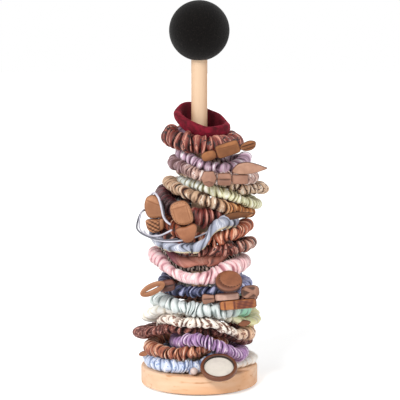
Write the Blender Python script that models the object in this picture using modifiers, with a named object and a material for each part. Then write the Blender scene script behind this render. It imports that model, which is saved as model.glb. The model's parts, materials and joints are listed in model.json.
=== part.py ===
"""Headband and hair-tie holder: a round wooden base, a dowel post and a black felt ball on top,
stocked with a stack of scrunchies and other hair ties that are threaded over the post.

Metres, +Z up, origin under the middle of the foot pad. The front, as the holder is shown, is -Y.
Sizes are named in millimetres, and turned into metres where a shape is made.
"""

import math
from collections import namedtuple

import bmesh
import bpy
import numpy as np
from mathutils import Matrix, Vector
from mathutils.bvhtree import BVHTree

MM = 0.001

# Fits
GAP = 0.3               # between solids that rest on, or are fixed in, each other
SEAT_GAP = 0.25         # between a hair tie and what it lies on

# Stand
PAD_DIAMETER = 98.0
PAD_THICKNESS = 1.5
BASE_DIAMETER = 110.0
BASE_THICKNESS = 17.0
BASE_EDGE_RADIUS = 1.8
POST_DIAMETER = 15.0
POST_CHAMFER = 0.8
SOCKET_DEPTH = 9.0
SCREW_LENGTH = 30.0
SCREW_DIAMETER = 4.0
SCREW_HEAD_DIAMETER = 8.0
SCREW_HEAD_HEIGHT = 2.6
SCREW_TIP_LENGTH = 4.0

# Ball
BALL_DIAMETER = 56.0
COVER_THICKNESS = 1.2
BALL_SOCKET_DEPTH = 7.0
STUD_DIAMETER = 6.0
STUD_CHAMFER = 0.8
STUD_IN_POST = 15.0
STUD_IN_BALL = 12.0
HEADROOM = 41.0         # bare post between the top of the stack and the ball

# Heights that follow from the stand's sizes
BASE_BOTTOM = PAD_THICKNESS + GAP
BASE_TOP = BASE_BOTTOM + BASE_THICKNESS

# How finely round things are cut
BASE_SIDES = 48
POST_SIDES = 24
BALL_SIDES = 28
BALL_RINGS = 11
FITTING_SIDES = 12
BEAD_RINGS = 7
EDGE_STEPS = 3
LOOP_STEPS = 24
FINE_STEPS = 120
TUBE_SIDES = 8
STRAP_STEPS = 20
STRAP_SIDES = 6
STRAP_SLIM = 0.2        # tube of the strap's torus, as a share, before it is given its size
LEAF_STEPS = 8
LOOP_END_STEPS = 4
BLOCK_EDGE_STEPS = 2
ROUND_PROFILE = 0.5
SHARP_ANGLE = 40.0      # degrees
WELD = 0.01

# How a hair tie settles
EVEN_OUT = 1            # steps round its loop over which it evens out what it lies on
GATHER = 0.14           # how far its tube draws in between two puffs, as a share

# How pieces are moved till they all but touch
COARSE_STEP = 1.0
FINE_STEP = 0.01
FURTHEST_OUT = 60.0
FURTHEST_SLIDE = 150.0

Tie = namedtuple("Tie", "name across back wide deep width height lie lift color")
# across, back: the middle of the loop, from the post's axis; wide, deep: half the loop's size,
# sideways and front to back, on its centre line; width, height: its tube's own size;
# lie: heights of that line above the base at its left, front, right and rear, before it settles;
# lift: how far it can be raised, with all that lies on it, before the next one has to follow.
TIES = (
    Tie("cream_scrunchie", 15, 7, 33, 32, 13, 8, (4, 4, 4, 4), 0.5, (0.86, 0.82, 0.72)),
    Tie("blue_print_scrunchie", -12, -4, 34, 38, 14, 12, (5, 6, 8, 8), 0.5, (0.62, 0.72, 0.86)),
    Tie("rust_striped_scrunchie", -12, -3, 33, 36, 14, 12, (14, 18, 20, 20), 0.5, (0.58, 0.31, 0.20)),
    Tie("purple_scrunchie", 9, -6, 31, 38, 13, 12, (24, 29, 10, 26), 0.5, (0.50, 0.33, 0.58)),
    Tie("dark_brown_scrunchie", -5, 4, 48, 34, 14, 9, (30, 40, 20, 32), 0.5, (0.20, 0.09, 0.07)),
    Tie("cream_striped_scrunchie", 6, -3, 40, 41, 13, 10, (37, 49, 24, 40), 0.5, (0.80, 0.70, 0.60)),
    Tie("organza_scrunchie", 4, 4, 48, 35, 14, 8, (46, 54, 38, 48), 0.5, (0.85, 0.80, 0.62)),
    Tie("mint_scrunchie", 1, -4, 40, 42, 15, 12, (61, 63, 52, 58), 0.5, (0.66, 0.72, 0.69)),
    Tie("brown_bow_tie", 9, 3, 40, 34, 11, 6, (70, 69, 64, 66), 0.5, (0.42, 0.24, 0.17)),
    Tie("navy_scrunchie", 5, -3, 39, 40, 12, 10, (77, 78, 78, 76), 0.5, (0.20, 0.20, 0.33)),
    Tie("pink_scrunchie", 0, -4, 41, 43, 14, 12, (107, 92, 100, 90), 0.5, (0.87, 0.60, 0.62)),
    Tie("zebra_scrunchie", 1, -2, 33, 31, 10, 8, (101, 99, 101, 97), 0.5, (0.45, 0.35, 0.30)),
    Tie("brown_band", -2, -4, 31, 37, 7, 8, (106, 106, 107, 103), 0.5, (0.50, 0.28, 0.22)),
    Tie("dark_leopard_scrunchie", 7, -2, 41, 39, 12, 11, (118, 116, 117, 110), 0.5, (0.28, 0.15, 0.12)),
    Tie("coral_scrunchie", 6, -3, 37, 38, 13, 11, (131, 127, 132, 120), 0.5, (0.62, 0.36, 0.26)),
    Tie("steel_blue_scrunchie", -6, -15, 36, 40, 10, 11, (128, 121, 139, 132), 0.5, (0.50, 0.54, 0.64)),
    Tie("cord_tie", -18, -9, 40, 44, 2.4, 2.4, (136, 130, 145, 142), 0.5, (0.62, 0.63, 0.67)),
    Tie("burgundy_scrunchie", -3, 0, 31, 34, 14, 14, (160, 143, 145, 140), 0.5, (0.22, 0.07, 0.07)),
    Tie("beige_striped_scrunchie", 8.5, -2, 36.3, 36, 13, 11, (175, 161, 147, 152), 0.5, (0.50, 0.38, 0.29)),
    Tie("green_scrunchie", 18.6, 0, 34.2, 34, 11, 9, (175, 171, 150, 162), 0.5, (0.70, 0.75, 0.55)),
    Tie("leopard_scrunchie", 20.9, 4, 36.7, 33, 12.6, 10, (185, 175, 168, 170), 0.5, (0.52, 0.40, 0.31)),
    Tie("taupe_bow_scrunchie", 13, -4, 36, 37, 13, 11, (194, 184, 180, 180), 0.5, (0.52, 0.38, 0.35)),
    Tie("lilac_scrunchie", 13, -1, 30, 30, 12, 11, (202, 191, 197, 190), 0.5, (0.62, 0.50, 0.60)),
    Tie("rust_leopard_scrunchie", 3, 0, 30, 32, 16, 17, (219, 214, 212, 213), 2.0, (0.36, 0.17, 0.12)),
    Tie("mauve_band", 3, 1, 20, 20, 6, 6, (226, 222, 222, 220), 3.0, (0.42, 0.30, 0.36)),
    Tie("maroon_band", 3, 0, 23, 23, 4.5, 12, (238, 224, 227, 238), 20.0, (0.33, 0.03, 0.06)),
)

Charm = namedtuple("Charm", "name tie side up tilt lean turn")
# side: from the middle of the tie's loop; up: from the loop's line at its front;
# tilt: right end up; lean: top end back; turn: round the post. Angles are in degrees.
CHARMS = (
    Charm("charm_bead", "blue_print_scrunchie", 7, -2, 0, 0, 0),
    Charm("disc_charm", "blue_print_scrunchie", 30, -4, 0, 60, 0),
    Charm("rust_tab", "rust_striped_scrunchie", -40, -5, 12, 0, 0),
    Charm("olive_tab", "organza_scrunchie", 38, 0, 12, 0, 0),
    Charm("brown_bow", "brown_bow_tie", 16.5, 8, 5, 0, 0),
    Charm("dark_brown_knot", "navy_scrunchie", -34, 6, 10, 0, 0),
    Charm("tan_leather_loop", "navy_scrunchie", -48, 4, 26, 0, 0),
    Charm("round_leather_charm", "navy_scrunchie", 22, 12, 0, 51, 0),
    Charm("left_charm", "cord_tie", -26.5, 27, 4, 0, -12),
    Charm("right_charm", "cord_tie", 2, 26, 16, 0, 0),
    Charm("suede_tab", "beige_striped_scrunchie", 27, -2, 8, 0, 0),
    Charm("leather_bow", "taupe_bow_scrunchie", 10, 0, 0, 0, 0),
    Charm("suede_bow", "rust_leopard_scrunchie", 23, -1, 18, 0, 0),
)

# Bows: a knot (across, back, up) and two loops
BowLoop = namedtuple("BowLoop", "length root end drop")
Bow = namedtuple("Bow", "knot left right")
SUEDE_BOW = Bow((22.0, 8.0, 12.5), BowLoop(14.0, 7.0, 9.0, 0.5), BowLoop(15.0, 6.0, 9.0, 3.0))
LEATHER_BOW = Bow((13.0, 7.0, 11.5), BowLoop(15.0, 9.0, 15.0, 0.0), BowLoop(15.0, 8.0, 9.0, 0.0))
BROWN_BOW = Bow((22.5, 8.0, 6.5), BowLoop(11.5, 8.0, 10.0, 0.6), BowLoop(34.0, 8.5, 9.0, 8.2))
BOW_THICKNESS = 6.0
BOW_ROUND = 0.25        # share of a bow's loop that is its round end
LEATHER_TAIL_LENGTH = 32.0
LEATHER_TAIL_HEIGHT = 11.0
LEATHER_TAIL_SIDE = 23.0
LOWER_LOOP_START = -7.5  # from the middle of the brown bow's knot, which it hangs under
BACK_LOOP_LENGTH = 17.0
BACK_LOOP_HEIGHT = 12.0
BACK_LOOP_SIDE = 21.5

# Leather charms, as across, back and up
LEFT_BLOCK = (17.5, 9.0, 22.0)
LEFT_SKIRT = (19.0, 9.0, 13.0)
RIGHT_BLOCK = (19.0, 10.0, 23.0)
RIGHT_SKIRT = (21.0, 9.0, 16.0)
SKIRT_TAPER = 0.6       # how narrow a skirt's lower end is, as a share
SIDE_KNOT = (13.0, 9.0, 11.0)
PADDED_EDGE = 2.2
FLAT_EDGE = 1.2
ROUND_CHARM_DIAMETER = 25.0
ROUND_CHARM_THICKNESS = 6.0
ROUND_CHARM_EDGE = 2.0
LOOP_LENGTH = 25.0
LOOP_HEIGHT = 11.0
LOOP_STRAP = 7.0
LOOP_THICKNESS = 3.0
TAB_LENGTHS = {"rust_tab": 10.0, "olive_tab": 12.0, "suede_tab": 29.0}
TAB_HEIGHTS = {"rust_tab": 5.0, "olive_tab": 6.0, "suede_tab": 6.5}
TAB_THICKNESS = 3.0
LEAF_FULLNESS = 0.6     # lower makes a leaf's ends blunter

# Disc charm and bead
DISC_DIAMETER = 34.0
DISC_RIM = 3.2
DISC_THICKNESS = 5.0
DISC_EDGE = 1.2
DISC_SUNK = 2.2
FACE_THICKNESS = 2.0
FACE_EDGE = 0.6
BEAD_DIAMETER = 7.0


def clear_scene():
    """Removes what the opened file holds, so that the model is alone in it."""
    for thing in list(bpy.data.objects):
        bpy.data.objects.remove(thing)


def new_collection(name):
    """A collection, linked to the scene."""
    made = bpy.data.collections.new(name)
    bpy.context.scene.collection.children.link(made)
    return made


def finish(name, color, roughness=0.8, metallic=0.0):
    """A plain material in the colour that the piece has."""
    made = bpy.data.materials.new(name)
    made.use_nodes = True
    shader = made.node_tree.nodes["Principled BSDF"]
    shader.inputs["Base Color"].default_value = (*color, 1.0)
    shader.inputs["Roughness"].default_value = roughness
    shader.inputs["Metallic"].default_value = metallic
    return made


def add_object(name, mesh, material):
    """A piece of the model, in the parts' collection and in its own material."""
    piece = bpy.data.objects.new(name, mesh)
    PARTS.objects.link(piece)
    mesh.materials.clear()
    mesh.materials.append(material)
    return piece


def seen_mesh(piece):
    """The piece's mesh with its modifiers made part of it."""
    bpy.context.view_layer.update()
    return bpy.data.meshes.new_from_object(piece.evaluated_get(bpy.context.evaluated_depsgraph_get()))


def shade(piece):
    """Smooth round faces, with the corners kept sharp."""
    piece.data.shade_smooth()
    piece.data.set_sharp_from_angle(angle=math.radians(SHARP_ANGLE))
    return piece


def arc(middle, radius, start, end, steps):
    """Points of a round stretch of a profile, with its angles in degrees."""
    angles = [math.radians(start + (end - start) * i / steps) for i in range(steps + 1)]
    return [(middle[0] + radius * math.cos(a), middle[1] + radius * math.sin(a)) for a in angles]


def turned(name, profile, sides, material):
    """A round piece, turned about its own Z axis: (radius, height) in millimetres down its side.

    A profile that starts off the axis is closed to a loop, and so makes a ring or a bored piece.
    """
    mesh = bpy.data.meshes.new(name)
    points = [(radius * MM, 0.0, height * MM) for radius, height in profile]
    edges = [(i, i + 1) for i in range(len(points) - 1)]
    if profile[0][0] > 0:
        edges.append((len(points) - 1, 0))
    mesh.from_pydata(points, edges, [])
    guide = bpy.data.objects.new(name + "_profile", mesh)
    GUIDES.objects.link(guide)
    turn = guide.modifiers.new("Turn", "SCREW")
    turn.steps = sides
    turn.render_steps = sides
    turn.use_merge_vertices = True
    turn.merge_threshold = WELD * MM
    made = seen_mesh(guide)
    bpy.data.objects.remove(guide)
    return shade(add_object(name, made, material))


def flat_piece(name, outline, thickness, edge, material):
    """A flat piece cut to an outline in millimetres, lying in its own XZ plane, with slanted edges."""
    curve = bpy.data.curves.new(name, "CURVE")
    curve.dimensions = "2D"
    curve.fill_mode = "BOTH"
    curve.extrude = (thickness / 2 - edge) * MM
    curve.bevel_depth = edge * MM
    curve.bevel_resolution = 0
    curve.offset = -edge * MM
    spline = curve.splines.new("POLY")
    spline.points.add(len(outline) - 1)
    for point, (x, z) in zip(spline.points, outline):
        point.co = (x * MM, z * MM, 0.0, 1.0)
    spline.use_cyclic_u = True
    guide = bpy.data.objects.new(name + "_outline", curve)
    GUIDES.objects.link(guide)
    made = seen_mesh(guide)
    bpy.data.objects.remove(guide)
    shape = bmesh.new()
    shape.from_mesh(made)
    bmesh.ops.remove_doubles(shape, verts=shape.verts, dist=WELD * MM)
    bmesh.ops.recalc_face_normals(shape, faces=shape.faces)
    bmesh.ops.rotate(shape, verts=shape.verts, matrix=Matrix.Rotation(math.pi / 2, 3, "X"))
    shape.to_mesh(made)
    shape.free()
    return shade(add_object(name, made, material))


def soft_block(name, size, material, taper=1.0):
    """A padded block with round edges, its size across, back and up; taper draws in its lower end."""
    shape = bmesh.new()
    bmesh.ops.create_cube(shape, size=1.0)
    for corner in shape.verts:
        draw_in = taper if corner.co.z < 0 else 1.0
        corner.co.x *= size[0] * MM * draw_in
        corner.co.y *= size[1] * MM
        corner.co.z *= size[2] * MM
    bmesh.ops.bevel(
        shape, geom=shape.edges[:], offset=PADDED_EDGE * MM,
        segments=BLOCK_EDGE_STEPS, profile=ROUND_PROFILE, affect="EDGES",
    )
    mesh = bpy.data.meshes.new(name)
    shape.to_mesh(mesh)
    shape.free()
    return shade(add_object(name, mesh, material))


def torus_mesh(steps, sides, radius, tube_radius):
    """The mesh of a round torus, ready to be given its real shape."""
    bpy.ops.mesh.primitive_torus_add(
        major_segments=steps, minor_segments=sides,
        major_radius=radius, minor_radius=tube_radius,
    )
    ring = bpy.context.object
    mesh = ring.data
    bpy.data.objects.remove(ring)
    return mesh


def world_tree(piece, shift):
    """The piece's faces where it would be after a shift, ready to be tested against others."""
    corners = [piece.matrix_basis @ corner.co + shift for corner in piece.data.vertices]
    return BVHTree.FromPolygons(corners, [tuple(face.vertices) for face in piece.data.polygons])


def touches(pieces, shift, trees):
    """Whether the shifted pieces would cut any of the trees."""
    moved = [world_tree(piece, shift) for piece in pieces]
    return any(tree.overlap(other) for tree in moved for other in trees)


def slide_until_near(pieces, direction, trees, gap):
    """Moves pieces along a direction till they would touch, and leaves them that gap short of it."""
    way = Vector(direction).normalized() * MM
    travel = 0.0
    while touches(pieces, way * travel, trees):
        travel -= COARSE_STEP
    while not touches(pieces, way * (travel + COARSE_STEP), trees):
        travel += COARSE_STEP
        if travel > FURTHEST_SLIDE:
            raise ValueError(pieces[0].name + " meets nothing to rest on")
    low, high = travel, travel + COARSE_STEP
    while high - low > FINE_STEP:
        middle = (low + high) / 2
        if touches(pieces, way * middle, trees):
            high = middle
        else:
            low = middle
    for piece in pieces:
        piece.location += way * (low - gap)


def loop_points(tie, steps):
    """Angles round a hair tie's loop, and the places of its centre line seen from above."""
    angles = np.arange(steps) * 2 * math.pi / steps
    across = tie.across + tie.wide * np.cos(angles)
    back = tie.back + tie.deep * np.sin(angles)
    return angles, across, back


def outward_way(tie, angle):
    """The way straight out from a tie's oval loop at an angle, seen from above."""
    out = Vector((math.cos(angle) * tie.deep, math.sin(angle) * tie.wide)).normalized()
    return out.x, out.y


def wished_height(tie, angles):
    """The height of the loop's centre line that its left, front, right and rear ask for."""
    left, front, right, rear = tie.lie
    mean = (left + front + right + rear) / 4
    saddle = (left + right - front - rear) / 4
    lean_right = (right - left) / 2 * np.cos(angles)
    lean_back = (rear - front) / 2 * np.sin(angles)
    return BASE_TOP + mean + lean_right + lean_back + saddle * np.cos(2 * angles)


def lowest_height(tie, across, back, settled):
    """How low each point of the loop can lie on the base and on the ties below it."""
    lowest = np.full(len(across), BASE_TOP + GAP + tie.height / 2)
    for other, other_across, other_back, other_height in settled:
        apart = np.hypot(across[:, None] - other_across, back[:, None] - other_back)
        nearness = np.clip(1 - (2 * apart / (tie.width + other.width)) ** 2, 0, None)
        needed = other_height + (tie.height + other.height) / 2 * np.sqrt(nearness)
        needed[nearness == 0] = 0
        lowest = np.maximum(lowest, needed.max(axis=1))
    return lowest


def evened_out(heights):
    """Heights round a loop as a soft tube takes them: nowhere lower, and with no sudden step."""
    near = np.mean([np.roll(heights, shift) for shift in range(-EVEN_OUT, EVEN_OUT + 1)], axis=0)
    return np.maximum(heights, near)


def loop_piece(tie, heights):
    """A hair tie: a torus whose loop is made oval and laid along the heights, and its tube gathered."""
    mesh = torus_mesh(LOOP_STEPS, TUBE_SIDES, tie.wide * MM, tie.height / 2 * MM)
    for corner in mesh.vertices:
        angle = math.atan2(corner.co.y, corner.co.x) % (2 * math.pi)
        step = round(angle / (2 * math.pi) * LOOP_STEPS) % LOOP_STEPS
        drawn = 1.0 - GATHER * (step % 2)
        outwards = (math.hypot(corner.co.x, corner.co.y) - tie.wide * MM) * drawn
        outwards *= tie.width / tie.height
        out_x, out_y = outward_way(tie, angle)
        corner.co.x = (tie.across + tie.wide * math.cos(angle)) * MM + outwards * out_x
        corner.co.y = (tie.back + tie.deep * math.sin(angle)) * MM + outwards * out_y
        corner.co.z = heights[step] * MM + corner.co.z * drawn
    return shade(add_object(tie.name, mesh, finish(tie.name, tie.color)))


def settle_ties(stand):
    """Lays the ties on the base and on each other, from the lowest up, each just clear of the rest."""
    trees = [world_tree(piece, Vector()) for piece in stand]
    settled = []
    rings = []
    for tie in TIES:
        angles, across, back = loop_points(tie, LOOP_STEPS)
        lowest = evened_out(lowest_height(tie, across, back, settled))
        heights = np.maximum(lowest, wished_height(tie, angles))
        ring = loop_piece(tie, heights)
        slide_until_near([ring], (0, 0, -1), trees, SEAT_GAP)
        trees.append(world_tree(ring, Vector()))
        rings.append(ring)
        fine_angles, fine_across, fine_back = loop_points(tie, FINE_STEPS)
        line = np.interp(fine_angles, np.append(angles, 2 * math.pi), np.append(heights, heights[0]))
        settled.append((tie, fine_across, fine_back, line + ring.location.z / MM))
    return rings, settled


def top_of(pieces):
    """The height of the highest point of the pieces, in millimetres."""
    return max((piece.matrix_basis @ corner.co).z for piece in pieces for corner in piece.data.vertices) / MM


def make_base():
    """The wooden disc, with a socket for the post and a sunk hole for the screw below it."""
    rim = BASE_DIAMETER / 2
    edge = BASE_EDGE_RADIUS
    socket = POST_DIAMETER / 2 + GAP
    hole = SCREW_DIAMETER / 2 + GAP
    head = SCREW_HEAD_DIAMETER / 2 + GAP
    profile = [(socket, BASE_TOP)]
    profile += arc((rim - edge, BASE_TOP - edge), edge, 90, 0, EDGE_STEPS)
    profile += arc((rim - edge, BASE_BOTTOM + edge), edge, 0, -90, EDGE_STEPS)
    profile += [(head, BASE_BOTTOM), (head, BASE_BOTTOM + SCREW_HEAD_HEIGHT + GAP)]
    profile += [(hole, BASE_BOTTOM + SCREW_HEAD_HEIGHT + GAP)]
    profile += [(hole, BASE_TOP - SOCKET_DEPTH), (socket, BASE_TOP - SOCKET_DEPTH)]
    return turned("base", profile, BASE_SIDES, WOOD)


def make_foot_pad():
    """The thin pad under the base, which covers the screw and is what the holder stands on."""
    rim = PAD_DIAMETER / 2
    profile = [(0, PAD_THICKNESS), (rim, PAD_THICKNESS), (rim, 0), (0, 0)]
    return turned("foot_pad", profile, BASE_SIDES, PAD)


def make_screw():
    """The wood screw that holds the post: its head is sunk in the base's underside."""
    head_bottom = BASE_BOTTOM + GAP
    head_top = BASE_BOTTOM + SCREW_HEAD_HEIGHT
    tip = head_bottom + SCREW_LENGTH
    shank = SCREW_DIAMETER / 2
    head = SCREW_HEAD_DIAMETER / 2
    profile = [(0, tip), (shank, tip - SCREW_TIP_LENGTH), (shank, head_top)]
    profile += [(head, head_top), (head, head_bottom), (0, head_bottom)]
    return turned("base_screw", profile, FITTING_SIDES, STEEL)


def make_post(post_top):
    """The dowel, with a pilot hole for the screw in its foot and one for the stud in its top."""
    side = POST_DIAMETER / 2
    bottom = BASE_TOP - SOCKET_DEPTH + GAP
    pilot = SCREW_DIAMETER / 2 + GAP
    pilot_end = BASE_BOTTOM + GAP + SCREW_LENGTH + GAP
    stud = STUD_DIAMETER / 2 + GAP
    stud_end = post_top - STUD_IN_POST - GAP
    profile = [(0, stud_end), (stud, stud_end), (stud, post_top), (side - POST_CHAMFER, post_top)]
    profile += [(side, post_top - POST_CHAMFER), (side, bottom + POST_CHAMFER)]
    profile += [(side - POST_CHAMFER, bottom), (pilot, bottom), (pilot, pilot_end), (0, pilot_end)]
    return turned("post", profile, POST_SIDES, WOOD)


def make_stud(post_top):
    """The threaded stud that holds the ball to the post."""
    side = STUD_DIAMETER / 2
    top = post_top + STUD_IN_BALL
    bottom = post_top - STUD_IN_POST
    profile = [(0, top), (side - STUD_CHAMFER, top), (side, top - STUD_CHAMFER)]
    profile += [(side, bottom + STUD_CHAMFER), (side - STUD_CHAMFER, bottom), (0, bottom)]
    return turned("ball_stud", profile, FITTING_SIDES, STEEL)


def make_ball_core(middle, post_top):
    """The wooden ball inside the felt, bored for the post's end and for the stud."""
    radius = BALL_DIAMETER / 2 - COVER_THICKNESS - GAP
    socket = POST_DIAMETER / 2 + GAP
    stud = STUD_DIAMETER / 2 + GAP
    mouth = math.degrees(math.asin(socket / radius))
    profile = arc((0, middle), radius, 90, mouth - 90, BALL_RINGS)
    profile += [(socket, post_top + GAP), (stud, post_top + GAP)]
    profile += [(stud, post_top + STUD_IN_BALL + GAP), (0, post_top + STUD_IN_BALL + GAP)]
    return turned("ball_core", profile, BALL_SIDES, WOOD)


def make_ball_cover(middle):
    """The black felt round the ball, open where the post goes in."""
    outer = BALL_DIAMETER / 2
    inner = outer - COVER_THICKNESS
    socket = POST_DIAMETER / 2 + GAP
    outer_mouth = math.degrees(math.asin(socket / outer))
    inner_mouth = math.degrees(math.asin(socket / inner))
    profile = arc((0, middle), outer, 90, outer_mouth - 90, BALL_RINGS)
    profile += arc((0, middle), inner, inner_mouth - 90, 90, BALL_RINGS)
    return turned("ball_cover", profile, BALL_SIDES, FELT)


def bow_loop(name, side, loop, knot_width, material):
    """A bow's loop, narrow at the knot and round at its end, on the knot's left (-1) or right (1)."""
    bulge = loop.length * BOW_ROUND
    straight = loop.length - bulge
    outline = [(0, loop.root / 2), (0, -loop.root / 2), (straight, -loop.end / 2)]
    round_end = arc((0, 0), 1.0, -60, 60, LOOP_END_STEPS)
    outline += [(straight + bulge * out, loop.end / 2 * up) for out, up in round_end]
    outline += [(straight, loop.end / 2)]
    if side < 0:
        outline = [(-x, z) for x, z in reversed(outline)]
    piece = flat_piece(name, outline, BOW_THICKNESS, FLAT_EDGE, material)
    piece.location = Vector((side * (knot_width / 2 + GAP), 0, -loop.drop)) * MM
    return piece


def leaf(name, length, height, thickness, middle, material):
    """A strip that comes to a blunt point at both ends, with its middle across and up."""
    shares = [i / LEAF_STEPS for i in range(1, LEAF_STEPS)]
    lower = [(length * (s - 0.5), -height / 2 * math.sin(math.pi * s) ** LEAF_FULLNESS) for s in shares]
    upper = [(x, -z) for x, z in reversed(lower)]
    outline = [(-length / 2, 0)] + lower + [(length / 2, 0)] + upper
    piece = flat_piece(name, outline, thickness, FLAT_EDGE, material)
    piece.location = Vector((middle[0], 0, middle[1])) * MM
    return piece


def facing_front(piece):
    """Turns a round piece's axis from straight up to straight at the front."""
    piece.data.transform(Matrix.Rotation(math.pi / 2, 4, "X"))
    return piece


def cushion_profile(radius, thickness, edge):
    """The side of a disc with round edges, from the middle of its top to that of its underside."""
    half = thickness / 2
    upper = arc((radius - edge, half - edge), edge, 90, 0, EDGE_STEPS)
    lower = arc((radius - edge, edge - half), edge, 0, -90, EDGE_STEPS)
    return [(0, half)] + upper + lower + [(0, -half)]


def make_bead(name):
    """The small bead beside the disc charm."""
    profile = arc((0, 0), BEAD_DIAMETER / 2, 90, -90, BEAD_RINGS)
    return [turned(name, profile, FITTING_SIDES, PINK_BEAD)]


def make_disc_charm(name):
    """A wooden rim with a cream face sunk in it."""
    rim = DISC_DIAMETER / 2
    window = rim - DISC_RIM
    half = DISC_THICKNESS / 2
    profile = [(window, half)] + arc((rim - DISC_EDGE, half - DISC_EDGE), DISC_EDGE, 90, 0, EDGE_STEPS)
    profile += arc((rim - DISC_EDGE, DISC_EDGE - half), DISC_EDGE, 0, -90, EDGE_STEPS) + [(window, -half)]
    drop = half - DISC_SUNK - FACE_THICKNESS / 2
    face = cushion_profile(window - GAP, FACE_THICKNESS, FACE_EDGE)
    face = [(radius, height + drop) for radius, height in face]
    return [
        facing_front(turned(name + "_rim", profile, BALL_SIDES, BROWN)),
        facing_front(turned(name + "_face", face, BALL_SIDES, CREAM)),
    ]


def make_round_charm(name):
    """The padded round leather charm."""
    profile = cushion_profile(ROUND_CHARM_DIAMETER / 2, ROUND_CHARM_THICKNESS, ROUND_CHARM_EDGE)
    return [facing_front(turned(name, profile, BALL_SIDES, TAN))]


def make_tab(name):
    """A flat leather tab, sewn to its tie."""
    return [leaf(name, TAB_LENGTHS[name], TAB_HEIGHTS[name], TAB_THICKNESS, (0, 0), TAN)]


def make_bow(name, bow, material):
    """A bow: a padded knot with a loop on each side."""
    return [
        soft_block(name + "_knot", bow.knot, material),
        bow_loop(name + "_left_loop", -1, bow.left, bow.knot[0], material),
        bow_loop(name + "_right_loop", 1, bow.right, bow.knot[0], material),
    ]


def above_right_loop(bow, height):
    """How high the middle of a strip of that height is when it lies on the bow's right loop."""
    return bow.right.end / 2 - bow.right.drop + GAP + height / 2


def make_suede_bow(name):
    """The suede bow: a long knot between two short loops."""
    return make_bow(name, SUEDE_BOW, TAN)


def make_leather_bow(name):
    """The leather bow, with a pointed tail lying on its right loop."""
    place = (LEATHER_TAIL_SIDE, above_right_loop(LEATHER_BOW, LEATHER_TAIL_HEIGHT))
    tail = leaf(name + "_tail", LEATHER_TAIL_LENGTH, LEATHER_TAIL_HEIGHT, BOW_THICKNESS, place, TAN)
    return make_bow(name, LEATHER_BOW, TAN) + [tail]


def make_brown_bow(name):
    """The brown bow: a long loop hangs under its knot to the right, and a shorter one stands on that."""
    place = (BACK_LOOP_SIDE, above_right_loop(BROWN_BOW, BACK_LOOP_HEIGHT))
    upper = leaf(name + "_back_loop", BACK_LOOP_LENGTH, BACK_LOOP_HEIGHT, BOW_THICKNESS, place, BROWN)
    pieces = make_bow(name, BROWN_BOW, BROWN)
    pieces[-1].location.x = LOWER_LOOP_START * MM
    return pieces + [upper]


def make_side_knot(name):
    """The dark knot at the left of the stack."""
    return [soft_block(name, SIDE_KNOT, DARK_BROWN)]


def make_side_loop(name):
    """A leather strip bent to a long loop, which stands out at the left."""
    mesh = torus_mesh(STRAP_STEPS, STRAP_SIDES, 1.0, STRAP_SLIM)
    for corner in mesh.vertices:
        out = (math.hypot(corner.co.x, corner.co.y) - 1.0) / STRAP_SLIM * LOOP_THICKNESS / 2
        angle = math.atan2(corner.co.y, corner.co.x)
        across = (LOOP_LENGTH / 2 - LOOP_THICKNESS / 2 + out) * math.cos(angle)
        up = (LOOP_HEIGHT / 2 - LOOP_THICKNESS / 2 + out) * math.sin(angle)
        back = -corner.co.z / STRAP_SLIM * LOOP_STRAP / 2
        corner.co = Vector((across, back, up)) * MM
    return [shade(add_object(name, mesh, TAN))]


def hanging_charm(name, block_size, skirt_size, skirt_material):
    """A padded block with a skirt hanging from it."""
    block = soft_block(name + "_block", block_size, TAN)
    skirt = soft_block(name + "_skirt", skirt_size, skirt_material, SKIRT_TAPER)
    skirt.location.z = -((block_size[2] + skirt_size[2]) / 2 + GAP) * MM
    return [block, skirt]


def make_left_charm(name):
    """The left charm, whose skirt is ribbed."""
    return hanging_charm(name, LEFT_BLOCK, LEFT_SKIRT, BROWN)


def make_right_charm(name):
    """The right charm, whose skirt is smooth."""
    return hanging_charm(name, RIGHT_BLOCK, RIGHT_SKIRT, TAN)


def swept_trees(own, pieces_by_tie):
    """What a charm of the tie in place own has to clear: all the ties, also where they are raised."""
    trees = []
    for index, pieces in enumerate(pieces_by_tie):
        lower, upper = sorted((index, own))
        reach = sum(tie.lift for tie in TIES[lower + 1:upper + 1])
        reach = reach if index > own else -reach
        for share in (0.0, 0.5, 1.0) if reach else (0.0,):
            shift = Vector((0, 0, reach * share * MM))
            trees += [world_tree(piece, shift) for piece in pieces]
    return trees


def hang_charm(charm, settled, pieces_by_tie, stand):
    """Puts a charm's pieces in front of its tie, and moves them back till they all but touch."""
    own = [tie.name for tie in TIES].index(charm.tie)
    tie, across, back, line = settled[own]
    place = tie.across + charm.side
    nearest = np.argmin(np.where(back < tie.back, np.abs(across - place), np.inf))
    target = Vector((place, back[nearest], line[nearest] + charm.up)) * MM
    turn = Matrix.Rotation(math.radians(charm.turn), 3, "Z")
    lean = Matrix.Rotation(math.radians(-charm.lean), 3, "X")
    tilt = Matrix.Rotation(math.radians(-charm.tilt), 3, "Y")
    facing = turn @ lean @ tilt
    way = turn @ Vector((0, 1, 0))
    start = target - way * FURTHEST_OUT * MM
    pieces = MAKERS[charm.name](charm.name)
    for piece in pieces:
        offset = piece.location.copy()
        piece.rotation_euler = facing.to_euler()
        piece.location = start + facing @ offset
    trees = swept_trees(own, pieces_by_tie) + [world_tree(piece, Vector()) for piece in stand]
    slide_until_near(pieces, way, trees, GAP)
    pieces_by_tie[own].extend(pieces)


MAKERS = {
    "charm_bead": make_bead,
    "disc_charm": make_disc_charm,
    "rust_tab": make_tab,
    "olive_tab": make_tab,
    "brown_bow": make_brown_bow,
    "dark_brown_knot": make_side_knot,
    "tan_leather_loop": make_side_loop,
    "round_leather_charm": make_round_charm,
    "left_charm": make_left_charm,
    "right_charm": make_right_charm,
    "suede_tab": make_tab,
    "leather_bow": make_leather_bow,
    "suede_bow": make_suede_bow,
}

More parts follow.
